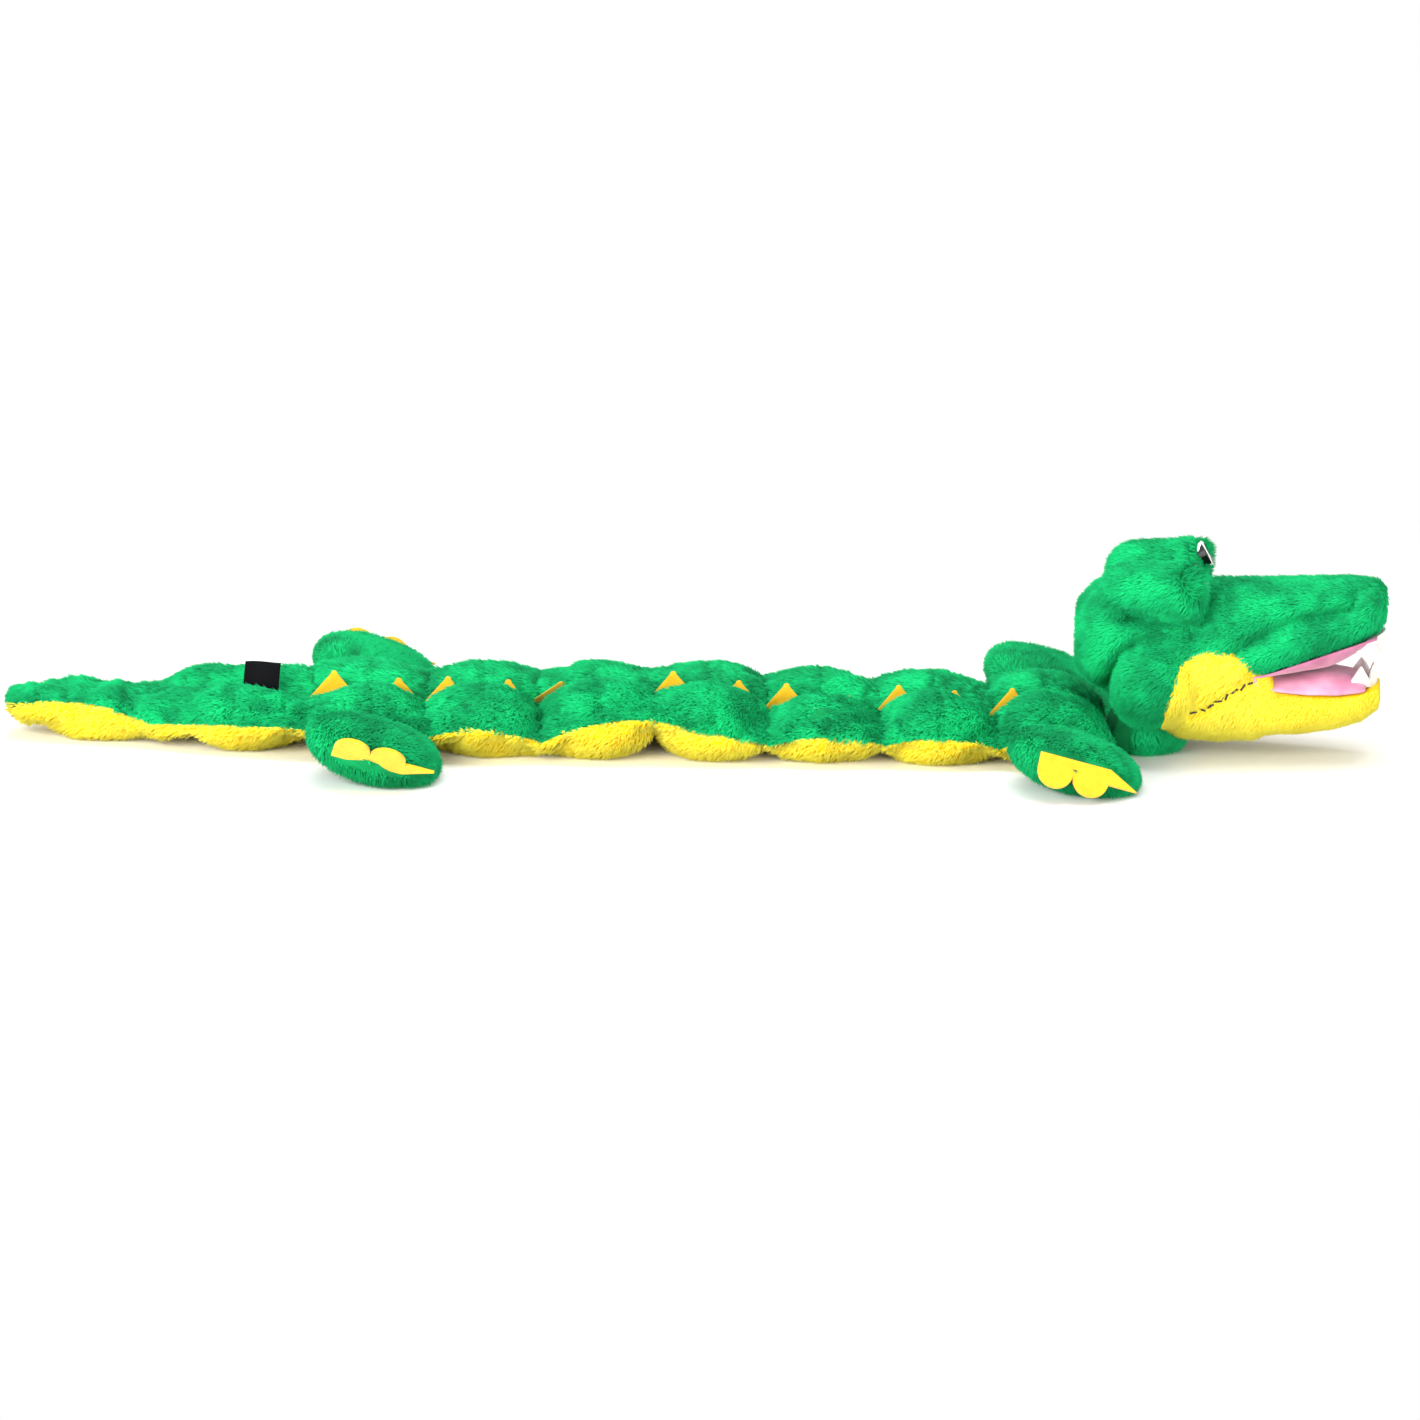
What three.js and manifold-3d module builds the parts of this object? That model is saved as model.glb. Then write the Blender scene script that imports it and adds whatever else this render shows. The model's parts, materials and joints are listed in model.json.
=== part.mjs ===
// Squeaky alligator dog toy: a flat plush mat of squeaker pockets with a stuffed head, four
// stuffed legs and a tapering tail. Millimetres, +X towards the head, -Y the toy's right side,
// +Z up, standing on z = 0.
import * as THREE from "three";
import { mergeVertices } from "three/addons/utils/BufferGeometryUtils.js";
import Module from "manifold-3d";

const wasm = await Module();
wasm.setup();

// Clearances
const GAP = 0.3; // between pieces that touch
const FLOOR_FLAT = 0.5; // how deep a resting belly is pressed flat
const OVERRUN = 6; // how far a cutting shape runs past what it cuts

// Body, rows of two squeaker pockets between a green back and a yellow belly
const ROWS = 7;
const POCKET_LENGTH = 70;
const POCKET_WIDTH = 72;
const POCKET_HEIGHT = 43;
const PANEL_EDGE = 0.6; // one panel where it is stitched to the other
const WAIST_DEPTH = 4; // how far a cross seam draws the sides in
const SEAM_HEIGHT_shares = [0.44, 0.37, 0.31, 0.55, 0.31, 0.33, 0.3, 0.28];
const FULLNESS = 0.66; // lower is fuller, 0.5 is an ellipse
const FOLD_ANGLE = Math.PI / 4; // two pockets meet when their seam folds this far
const FOLD_SLOPE = Math.tan(FOLD_ANGLE / 2);
const POCKET_STEPS = 6;
const COLUMN_STEPS = 6;

// Tail, a base with two small pockets and a stuffed tip
const TAIL_BASE_LENGTH = 100;
const TAIL_BASE_HEIGHT = 41;
const TAIL_WAIST_WIDTH = 80;
const TAIL_BASE_SWELL = 3;
const TAIL_TIP_LENGTH = 88;
const TAIL_TIP_HEIGHT = 33;
const TAIL_END_WIDTH = 36;
const TAIL_END_HEIGHT = 31;
const TAIL_END_RISE = 11; // the end's underside above the floor
const TAIL_SEAM_SHARE = 0.38; // of the base's height
const TAIL_END_SHARE = 0.68; // of the end's height
const TAIL_ROUNDING_SHARE = 0.16; // of the tip's length
const TAIL_TIP_FULLNESS = 0.45;

// Squeakers, round bladders with a reed plug in a round seat
const SQUEAKER_DIAMETER = 50;
const SQUEAKER_THICKNESS = 24;
const TAIL_SQUEAKER_DIAMETER = 38;
const TAIL_SQUEAKER_THICKNESS = 18;
const REED_SEAT_DIAMETER = 14;
const REED_SEAT_DEPTH = 3;
const REED_DIAMETER = 8;
const REED_HEIGHT = 2;
const SQUEAKER_SIDES = 12;
const FACE_RADIUS_share = 0.62;
const RIM_HEIGHT_share = 0.3;

// Felt trims
const FELT = 2;
const SPIKE_HEIGHT = 16;
const SPIKE_BAND = 3;
const SPIKES_PER_ROW = 2;
const SPIKE_SETOFF = 12; // a spike stands this far ahead of each cross seam
const TEETH_PER_JAW = 4;
const TOOTH_LENGTH = 13;
const TOOTH_BAND = 4;
const TOOTH_ARC = 2.6; // radians round the front of the mouth
const TEETH_SETBACK = 4; // from the tip of the snout
const UPPER_TEETH_RADIUS = 24;
const LOWER_TEETH_RADIUS = 20;
const CLAW_RADIUS = 11;
const CLAW_DEPTH = 16;
const CLAW_POINT = 18;
const CLAW_ROOT = 5; // how far the felt is sewn in
const CLAW_DROOP = { front: 0.95, rear: -0.8 }; // radians below level
const CLAW_SETBACK = 5; // the seam that holds it, from the toe

// Woven label, standing in the tail's middle seam
const LABEL_LENGTH = 22;
const LABEL_TOP = 49;
const LABEL_THICKNESS = 0.8;
const LABEL_PLACE_share = 0.66; // along the tail base, from the tip end

// Legs, flat stuffed paddles sewn into the side seams
const LEG_LENGTH = 82;
const WIDTH_OVER_TOES = 311;
const LEG_THICKNESS = 41;
const LEG_TILT = 0.26; // the toes hang lower than the heel
const LEG_SIDES = 14;
const HIP_EDGE = 0.4; // half of the paddle's thickness at its seam
const HIP_SLOPE = 1.2; // how fast it may thicken from there, to fold up by 45 degrees
// outward, half length, half thickness, forward shift
const LEG_SECTION_shares = [
  [0, 0.6, 0.02, 0],
  [0.09, 0.78, 0.44, -0.01],
  [0.26, 0.93, 0.85, -0.02],
  [0.5, 1, 1, -0.04],
  [0.74, 0.93, 0.9, -0.05],
  [0.91, 0.68, 0.6, -0.06],
];
const TOE_SHIFT_share = -0.07;
const LEG_SETOFF = { rear: 5, front: 10 }; // ahead of the middle of its row

// Neck, a round stuffed chest under the head
const CHEST_RADIUS = 32;
const CHEST_HEIGHT = 30;
const CHEST_SETBACK = 20; // from the last cross seam to the axis that the head turns about
const CHEST_SIDES = 20;

// Head
const HEAD_OVERHANG = 19; // the back of the head reaches over the last row
const HEAD_LENGTH = 193;
const HEAD_WIDTH = 114;
const HEAD_HEIGHT = 128;
const HEAD_TURN = 0.136; // radians to the toy's right, as it lies
const TURN_OFFSET = 0.6; // half of what the turn takes off the toy's length
const HEAD_SIDES = 16;
const BULGE_SIDES = 12;
const HEAD_SQUARENESS = 0.82; // 1 is an ellipse
const MOUTH_DEPTH = 84; // from the snout's tip back to the mouth's corner
const MOUTH_HEIGHT = 54;
const LIP_HEIGHT = 83; // upper lip at the tip
const JAW_HEIGHT = 46; // lower jaw's rim at the tip
const JAW_NOTCH_SLOPE = 0.115; // half of the room for the jaw to drop
const LINING = 2.5;
const LINING_SETBACK = 24; // from the mouth's corner, so that the mouth can shut a little
const BROW_SPREAD = 74;
const BROW_LENGTH = 68;
const BROW_WIDTH = 46;
const BROW_HEIGHT = 42;
const BROW_PLACE_share = 0.249;
const CHEEK_SPREAD = 76;
const CHEEK_LENGTH = 60;
const CHEEK_WIDTH = 52;
const CHEEK_HEIGHT = 58;
const CHEEK_PLACE_share = 0.28;
const CHEEK_BOTTOM = 21;
const NOSTRIL_SPREAD = 28;
const NOSTRIL_SIZE = 13;
const NOSTRIL_PLACE_share = 0.945;
const NOSTRIL_HEIGHT_share = 0.85;
const EYE_DIAMETER = 17;
const EYE_DEPTH = 6;
const EYE_SUNK = 4.5;
const EYE_TILT = 0.55; // radians above straight ahead
// along, half width, bottom, top
const HEAD_SECTION_shares = [
  [0.016, 0.4, 0.47, 0.73],
  [0.062, 0.72, 0.42, 0.82],
  [0.12, 0.86, 0.35, 0.86],
  [0.18, 0.91, 0.29, 0.87],
  [0.25, 0.92, 0.2, 0.87],
  [0.35, 0.88, 0.09, 0.86],
  [0.477, 0.83, 0.07, 0.87],
  [0.6, 0.74, 0.08, 0.875],
  [0.69, 0.68, 0.3, 0.88],
  [0.79, 0.61, 0.42, 0.89],
  [0.89, 0.55, 0.53, 0.9],
  [0.96, 0.46, 0.62, 0.89],
  [0.99, 0.27, 0.7, 0.85],
];
const HEAD_BACK_share = 0.6;
const HEAD_FRONT_share = 0.77;
// along, half width, bottom, top
const JAW_SECTION_shares = [
  [0.58, 0.75, 0.1, 0.45],
  [0.65, 0.72, 0.11, 0.46],
  [0.73, 0.66, 0.115, 0.47],
  [0.84, 0.6, 0.14, 0.48],
  [0.92, 0.52, 0.18, 0.48],
  [0.97, 0.38, 0.24, 0.46],
];
const JAW_FRONT_share = [0.99, 0.35];
// along, height, from the throat over the cheek to the mouth's corner
const CHEEK_SEAM_shares = [
  [0.285, -0.1],
  [0.3, 0.2],
  [0.326, 0.41],
  [0.368, 0.525],
  [0.44, 0.58],
  [0.503, 0.53],
  [0.545, 0.46],
];

// Places along and across the toy
const TOTAL_LENGTH =
  TAIL_TIP_LENGTH + TAIL_BASE_LENGTH + ROWS * POCKET_LENGTH + HEAD_LENGTH - HEAD_OVERHANG;
const TAIL_END_X = TURN_OFFSET - TOTAL_LENGTH / 2;
const TAIL_SEAM_X = TAIL_END_X + TAIL_TIP_LENGTH;
const TAIL_SEAM_Z = TAIL_SEAM_SHARE * TAIL_BASE_HEIGHT;
const BODY_START_X = TAIL_SEAM_X + TAIL_BASE_LENGTH;
const NECK_X = BODY_START_X + ROWS * POCKET_LENGTH;
const HEAD_BACK_X = NECK_X - HEAD_OVERHANG;
const SNOUT_TIP_X = HEAD_BACK_X + HEAD_LENGTH;
const MOUTH_X = SNOUT_TIP_X - MOUTH_DEPTH;
const TURN_X = NECK_X + CHEST_SETBACK;
const VALLEY = FELT / 2 + GAP; // half of the flat channel along the middle seam
const HALF_WAIST = POCKET_WIDTH - WAIST_DEPTH;
const LEG_REACH = WIDTH_OVER_TOES / 2 - POCKET_WIDTH - GAP;
const seamX = (i) => BODY_START_X + i * POCKET_LENGTH;
const seamZ = (i) => SEAM_HEIGHT_shares[i] * POCKET_HEIGHT;

// Materials
const plush = (color) => new THREE.MeshStandardMaterial({ color, roughness: 1 });
const greenPlush = plush("#0bb765");
const yellowPlush = plush("#fbe02b");
const yellowFelt = plush("#fdd835");
const whiteFelt = plush("#f7f7f2");
const pinkLining = plush("#f2bcd0");
const wovenLabel = plush("#15131c");
const bladderPlastic = new THREE.MeshStandardMaterial({ color: "#e8e4da", roughness: 0.45 });
const eyePlastic = new THREE.MeshStandardMaterial({ color: "#f5f5f0", roughness: 0.25 });

// Solids from vertices and triangles, turned to face out
function solidFrom(positions, triangles) {
  const build = (list) =>
    new wasm.Manifold(
      new wasm.Mesh({
        numProp: 3,
        vertProperties: Float32Array.from(positions),
        triVerts: Uint32Array.from(list),
      }),
    );
  const solid = build(triangles);
  if (solid.volume() >= 0) return solid;
  const turned = [];
  for (let i = 0; i < triangles.length; i += 3) {
    turned.push(triangles[i], triangles[i + 2], triangles[i + 1]);
  }
  return build(turned);
}

function solidOf(geometry) {
  const bare = geometry.clone();
  bare.deleteAttribute("normal");
  bare.deleteAttribute("uv");
  const merged = mergeVertices(bare);
  return solidFrom(merged.attributes.position.array, merged.index.array);
}

function addPiece(group, name, solid, material) {
  const { vertProperties, triVerts } = solid.getMesh();
  const geometry = new THREE.BufferGeometry();
  geometry.setAttribute("position", new THREE.BufferAttribute(vertProperties, 3));
  geometry.setIndex(new THREE.BufferAttribute(triVerts, 1));
  geometry.computeVertexNormals();
  const mesh = new THREE.Mesh(geometry, material);
  mesh.name = name;
  group.add(mesh);
  return mesh;
}

// A closed solid between two sheets of points over the same grid
function sheetSolid(rows, columns, upper, lower) {
  const positions = [];
  for (const sheet of [upper, lower]) {
    for (let i = 0; i <= rows; i++) {
      for (let j = 0; j <= columns; j++) positions.push(...sheet(i, j));
    }
  }
  const at = (sheet, i, j) => (sheet * (rows + 1) + i) * (columns + 1) + j;
  const triangles = [];
  const quad = (a, b, c, d) => triangles.push(a, b, c, a, c, d);
  for (let i = 0; i < rows; i++) {
    for (let j = 0; j < columns; j++) {
      quad(at(0, i, j), at(0, i + 1, j), at(0, i + 1, j + 1), at(0, i, j + 1));
      quad(at(1, i, j), at(1, i, j + 1), at(1, i + 1, j + 1), at(1, i + 1, j));
    }
    quad(at(1, i, 0), at(1, i + 1, 0), at(0, i + 1, 0), at(0, i, 0));
    quad(at(0, i, columns), at(0, i + 1, columns), at(1, i + 1, columns), at(1, i, columns));
  }
  for (let j = 0; j < columns; j++) {
    quad(at(0, 0, j), at(0, 0, j + 1), at(1, 0, j + 1), at(1, 0, j));
    quad(at(1, rows, j), at(1, rows, j + 1), at(0, rows, j + 1), at(0, rows, j));
  }
  return solidFrom(positions, triangles);
}

// A closed skin over rings of points, drawn to a point at each end
function ringSolid(rings, start, end) {
  const sides = rings[0].length;
  const positions = [...start, ...rings.flat(2), ...end];
  const at = (ring, k) => 1 + ring * sides + (k % sides);
  const last = 1 + rings.length * sides;
  const triangles = [];
  for (let k = 0; k < sides; k++) {
    triangles.push(0, at(0, k + 1), at(0, k));
    triangles.push(last, at(rings.length - 1, k), at(rings.length - 1, k + 1));
    for (let ring = 0; ring + 1 < rings.length; ring++) {
      triangles.push(at(ring, k), at(ring, k + 1), at(ring + 1, k + 1));
      triangles.push(at(ring, k), at(ring + 1, k + 1), at(ring + 1, k));
    }
  }
  return solidFrom(positions, triangles);
}

// A solid with this outline of [x, z] points, seen from the side, across the middle plane
function sideSolid(outline, width) {
  const shape = new THREE.Shape(outline.map(([x, z]) => new THREE.Vector2(x, z)));
  const block = new THREE.ExtrudeGeometry(shape, { depth: width, bevelEnabled: false });
  block.translate(0, 0, -width / 2);
  block.rotateX(Math.PI / 2);
  return solidOf(block);
}

// A solid with this plan outline, from z = 0 up
function planSolid(shape, thickness) {
  const curveSegments = 8;
  return solidOf(
    new THREE.ExtrudeGeometry(shape, { depth: thickness, bevelEnabled: false, curveSegments }),
  );
}

// A solid of revolution about the vertical, from [radius, z] points
function turnedSolid(profile, sides) {
  const lathe = new THREE.LatheGeometry(
    profile.map(([r, z]) => new THREE.Vector2(r, z)),
    sides,
  );
  lathe.rotateX(Math.PI / 2);
  return solidOf(lathe);
}

function ellipsoid(length, width, height, sides) {
  const ball = new THREE.SphereGeometry(1, sides, Math.ceil(sides / 2) + 1);
  ball.scale(length / 2, width / 2, height / 2);
  return solidOf(ball);
}

// A soft form pressed flat where it meets the floor
const pressed = (solid) => solid.trimByPlane([0, 0, 1], 0);

const lerp = THREE.MathUtils.lerp;

// Even steps of an angle, so that the points gather where a pillow curves most
const eased = (step, steps) => (1 - Math.cos((Math.PI * step) / steps)) / 2;

// A sewn pillow section between two seams, and the side view of the room that its folds leave it
function pillow(section) {
  const columns = section.valley ? 2 * COLUMN_STEPS + 1 : COLUMN_STEPS + 2;
  const place = (i, j) => {
    const u = eased(i, POCKET_STEPS);
    const half = section.halfWidth(u);
    if (!section.valley) {
      const v = 2 * eased(j, columns) - 1;
      return { u, y: v * half, t: v };
    }
    const side = j > COLUMN_STEPS ? 1 : -1;
    const w = side > 0 ? eased(j - COLUMN_STEPS - 1, COLUMN_STEPS) : 1 - eased(j, COLUMN_STEPS);
    return { u, y: side * lerp(section.valley, half, w), t: 2 * w - 1 };
  };
  const sheet = (face) => (i, j) => {
    const { u, y, t } = place(i, j);
    const s = 2 * u - 1;
    const swell = Math.pow(Math.max((1 - s * s) * (1 - t * t), 0), section.fullness);
    const seam = lerp(section.z0, section.z1, u);
    const crown = face > 0 ? section.height(u) : section.floor(u);
    const edge = seam + face * PANEL_EDGE;
    const z = lerp(edge, crown, swell);
    const start = section.x0 + (section.free ? 0 : GAP / 2 + Math.abs(z - section.z0) * FOLD_SLOPE);
    const end = section.x1 - GAP / 2 - Math.abs(z - section.z1) * FOLD_SLOPE;
    const x = lerp(section.x0, section.x1, u);
    return [Math.min(Math.max(x, start), end), y, z];
  };
  return pressed(sheetSolid(POCKET_STEPS, columns, sheet(1), sheet(-1)));
}

// What lies above or below the seams of a section, half a gap clear of them
function beyondSeam(section, face) {
  const far = face * (POCKET_HEIGHT + OVERRUN);
  const x0 = section.x0 - OVERRUN;
  const x1 = section.x1 + OVERRUN;
  const rise = (section.z1 - section.z0) / (section.x1 - section.x0);
  const z0 = section.z0 - rise * OVERRUN + (face * GAP) / 2;
  const z1 = section.z1 + rise * OVERRUN + (face * GAP) / 2;
  const width = 2 * (POCKET_WIDTH + OVERRUN);
  return sideSolid([[x0, z0], [x1, z1], [x1, z1 + far], [x0, z0 + far]], width);
}

// The room, in side view, that a row keeps to so that its neighbours can fold
function foldRoom(x0, z0, x1, z1) {
  const lean = POCKET_HEIGHT * FOLD_SLOPE + GAP / 2;
  return [
    [x0 + GAP / 2, z0],
    [x0 + lean, z0 + POCKET_HEIGHT],
    [x1 - lean, z1 + POCKET_HEIGHT],
    [x1 - GAP / 2, z1],
    [x1 - lean, z1 - POCKET_HEIGHT],
    [x0 + lean, z0 - POCKET_HEIGHT],
  ];
}

function bladder(diameter, thickness, clearance) {
  const r = diameter / 2 + clearance;
  const h = thickness / 2 + clearance;
  const face = r * FACE_RADIUS_share;
  const rim = h * RIM_HEIGHT_share;
  return turnedSolid([[0, -h], [face, -h], [r, -rim], [r, rim], [face, h], [0, h]], SQUEAKER_SIDES);
}

function squeaker(diameter, thickness) {
  const h = thickness / 2;
  const floor = h - REED_SEAT_DEPTH;
  const seat = turnedSolid(
    [
      [0, floor + REED_HEIGHT],
      [REED_DIAMETER / 2, floor + REED_HEIGHT],
      [REED_DIAMETER / 2, floor],
      [REED_SEAT_DIAMETER / 2, floor],
      [REED_SEAT_DIAMETER / 2, h + OVERRUN],
      [0, h + OVERRUN],
    ],
    SQUEAKER_SIDES,
  );
  return bladder(diameter, thickness, 0).subtract(seat);
}

// The green back and yellow belly of a section, hollowed for its squeakers
function addPanels(group, name, section, cavities) {
  const whole = pillow(section);
  for (const [side, face, material] of [
    ["back", 1, greenPlush],
    ["belly", -1, yellowPlush],
  ]) {
    let panel = whole.intersect(beyondSeam(section, face));
    for (const cavity of cavities) panel = panel.subtract(cavity);
    addPiece(group, `${name}_${side}`, panel, material);
  }
}

// Two squeakers side by side, and the hollows that hold them
function addSqueakers(group, name, x, y, z, diameter, thickness) {
  const hollow = bladder(diameter, thickness, GAP);
  return [
    ["right", -1],
    ["left", 1],
  ].map(([word, side]) => {
    const mesh = addPiece(
      group,
      `${name}squeaker_${word}`,
      squeaker(diameter, thickness),
      bladderPlastic,
    );
    mesh.position.set(x, side * y, z);
    return hollow.translate([x, side * y, z]);
  });
}

// Felt spikes along the middle seam, evenly spaced, the first one just ahead of the cross seam
function spikes(i) {
  const [x0, z0, x1, z1] = [seamX(i), seamZ(i), seamX(i + 1), seamZ(i + 1)];
  const pitch = POCKET_LENGTH / SPIKES_PER_ROW;
  const foot = (x) => lerp(z0, z1, (x - x0) / POCKET_LENGTH) + PANEL_EDGE + GAP;
  const edge = (x) => {
    const turns = (x - x0 - SPIKE_SETOFF) / pitch;
    const off = 2 * Math.abs(turns - Math.round(turns));
    return [x, foot(x) + lerp(SPIKE_HEIGHT, SPIKE_BAND, off)];
  };
  const outline = [[x1, foot(x1)], [x0, foot(x0)], edge(x0)];
  for (let k = 0; k < 2 * SPIKES_PER_ROW; k++) {
    outline.push(edge(x0 + SPIKE_SETOFF + (k * pitch) / 2));
  }
  outline.push(edge(x1));
  const room = sideSolid(foldRoom(x0, z0, x1, z1), POCKET_WIDTH);
  return sideSolid(outline, FELT).intersect(room);
}

function addRow(group, i) {
  const section = {
    x0: seamX(i),
    z0: seamZ(i),
    x1: seamX(i + 1),
    z1: seamZ(i + 1),
    halfWidth: (u) => HALF_WAIST + WAIST_DEPTH * Math.sin(Math.PI * u),
    height: () => POCKET_HEIGHT,
    floor: () => -FLOOR_FLAT,
    fullness: FULLNESS,
    valley: VALLEY,
  };
  const name = `row_${i + 1}`;
  const middle = (section.x0 + section.x1) / 2;
  const hollows = addSqueakers(
    group,
    `${name}_`,
    middle,
    (POCKET_WIDTH + VALLEY) / 2,
    POCKET_HEIGHT / 2,
    SQUEAKER_DIAMETER,
    SQUEAKER_THICKNESS,
  );
  addPanels(group, name, section, hollows);
  addPiece(group, `${name}_spikes`, spikes(i), yellowFelt);
}

function addTail(group) {
  const base = {
    x0: TAIL_SEAM_X,
    z0: TAIL_SEAM_Z,
    x1: BODY_START_X,
    z1: seamZ(0),
    halfWidth: (u) =>
      lerp(TAIL_WAIST_WIDTH / 2, HALF_WAIST, u) + TAIL_BASE_SWELL * Math.sin(Math.PI * u),
    height: () => TAIL_BASE_HEIGHT,
    floor: () => -FLOOR_FLAT,
    fullness: FULLNESS,
    valley: VALLEY,
  };
  const place = 1 - (TAIL_SQUEAKER_DIAMETER / 2 + WAIST_DEPTH * 2) / TAIL_BASE_LENGTH;
  const hollows = addSqueakers(
    group,
    "tail_",
    lerp(base.x0, base.x1, place),
    (base.halfWidth(place) + VALLEY) / 2,
    TAIL_BASE_HEIGHT / 2,
    TAIL_SQUEAKER_DIAMETER,
    TAIL_SQUEAKER_THICKNESS,
  );
  addPanels(group, "tail_base", base, hollows);

  const rounding = (u) => {
    const left = 1 - Math.min(u / TAIL_ROUNDING_SHARE, 1);
    return Math.sqrt(1 - left * left * (1 - TAIL_ROUNDING_SHARE));
  };
  const tip = {
    x0: TAIL_END_X,
    z0: TAIL_END_SHARE * TAIL_END_HEIGHT,
    x1: TAIL_SEAM_X,
    z1: TAIL_SEAM_Z,
    halfWidth: (u) => (lerp(TAIL_END_WIDTH, TAIL_WAIST_WIDTH, u) / 2) * rounding(u),
    height: (u) => lerp(TAIL_END_HEIGHT, TAIL_TIP_HEIGHT, Math.min(2 * u, 1)),
    floor: (u) => lerp(TAIL_END_RISE, -FLOOR_FLAT, Math.min(2 * u, 1)),
    fullness: TAIL_TIP_FULLNESS,
    free: true,
  };
  addPanels(group, "tail_tip", tip, []);

  const middle = lerp(base.x0, base.x1, LABEL_PLACE_share);
  const foot = lerp(base.z0, base.z1, LABEL_PLACE_share) + PANEL_EDGE + GAP;
  const slope = (base.z1 - base.z0) / TAIL_BASE_LENGTH;
  const reach = LABEL_LENGTH / 2;
  const label = sideSolid(
    [
      [middle - reach, foot - reach * slope],
      [middle + reach, foot + reach * slope],
      [middle + reach, LABEL_TOP],
      [middle - reach, LABEL_TOP],
    ],
    LABEL_THICKNESS,
  );
  addPiece(group, "tail_label", label, wovenLabel);
}

// A paddle of the right side, from its hip seam at y = 0 outwards along -Y, its sole on z = 0
function paddle(hipZ) {
  const half = LEG_LENGTH / 2;
  const thick = LEG_THICKNESS / 2;
  const restZ = LEG_THICKNESS / 2 - FLOOR_FLAT;
  const rings = LEG_SECTION_shares.map(([out, long, swell, shift]) => {
    const y = out * LEG_REACH;
    const middle = shift * LEG_LENGTH;
    const ring = [];
    for (let k = 0; k < LEG_SIDES; k++) {
      const angle = (2 * Math.PI * k) / LEG_SIDES;
      const dx = half * long * Math.cos(angle);
      const room = HIP_EDGE + HIP_SLOPE * y;
      const height = Math.min(thick * swell, room) * Math.sin(angle);
      const tilt = -LEG_TILT * dx * Math.min(4 * out, 1);
      ring.push([middle + dx, -y, lerp(hipZ, restZ, out) + height + tilt]);
    }
    return ring;
  });
  const hip = [0, 0, hipZ];
  const toe = [TOE_SHIFT_share * LEG_LENGTH, -LEG_REACH, restZ];
  return pressed(ringSolid(rings, hip, toe));
}

// Felt claws sewn into the paddle's rim, two round scallops and a pointed one, or with a
// clearance the slot that holds them
function claws(end, clearance) {
  const corner = 2 * CLAW_RADIUS + clearance;
  const drop = CLAW_DEPTH - CLAW_RADIUS;
  const shape = new THREE.Shape();
  shape.moveTo(-corner, CLAW_ROOT + clearance);
  shape.lineTo(corner, CLAW_ROOT + clearance);
  shape.lineTo(corner + CLAW_POINT, -drop - clearance);
  shape.lineTo(corner, -drop - clearance);
  if (clearance) {
    shape.lineTo(corner, -CLAW_DEPTH - clearance);
    shape.lineTo(-corner, -CLAW_DEPTH - clearance);
  } else {
    shape.absarc(CLAW_RADIUS, -drop, CLAW_RADIUS, 0, -Math.PI, true);
    shape.absarc(-CLAW_RADIUS, -drop, CLAW_RADIUS, 0, -Math.PI, true);
  }
  const thickness = FELT + 2 * clearance;
  const place = new THREE.Matrix4()
    .makeTranslation(TOE_SHIFT_share * LEG_LENGTH, CLAW_SETBACK - LEG_REACH, LEG_THICKNESS / 2)
    .multiply(new THREE.Matrix4().makeRotationY(Math.atan(LEG_TILT)))
    .multiply(new THREE.Matrix4().makeRotationX(CLAW_DROOP[end]))
    .multiply(new THREE.Matrix4().makeTranslation(0, 0, -thickness / 2));
  return planSolid(shape, thickness).transform(place.elements);
}

const mirrored = (solid, side) => (side > 0 ? solid.mirror([0, 1, 0]) : solid);

function addLegs(group) {
  for (const [end, i] of [
    ["rear", 0],
    ["front", ROWS - 1],
  ]) {
    const hipZ = (seamZ(i) + seamZ(i + 1)) / 2;
    for (const [word, side] of [
      ["right", -1],
      ["left", 1],
    ]) {
      const leg = new THREE.Group();
      const middle = (seamX(i) + seamX(i + 1)) / 2;
      leg.position.set(middle + LEG_SETOFF[end], side * (POCKET_WIDTH + GAP), 0);
      const slotted = paddle(hipZ).subtract(claws(end, GAP));
      addPiece(leg, `leg_${end}_${word}`, mirrored(slotted, side), greenPlush);
      addPiece(leg, `claws_${end}_${word}`, mirrored(claws(end, 0), side), yellowFelt);
      group.add(leg);
    }
  }
}

// Head places from shares: along the head from its back, and up from the floor
const headX = (along) => HEAD_BACK_X + along * HEAD_LENGTH;
const headZ = (up) => up * HEAD_HEIGHT;

function headSkin(sections, back, front) {
  const rings = sections.map(([along, wide, bottom, top]) => {
    const ring = [];
    for (let k = 0; k < HEAD_SIDES; k++) {
      const angle = (2 * Math.PI * k) / HEAD_SIDES;
      const bend = (value) => Math.sign(value) * Math.pow(Math.abs(value), HEAD_SQUARENESS);
      const middle = headZ((bottom + top) / 2);
      const reach = headZ((top - bottom) / 2);
      const y = ((wide * HEAD_WIDTH) / 2) * bend(Math.cos(angle));
      ring.push([headX(along), y, middle + reach * bend(Math.sin(angle))]);
    }
    return ring;
  });
  return ringSolid(rings, back, front);
}

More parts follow.
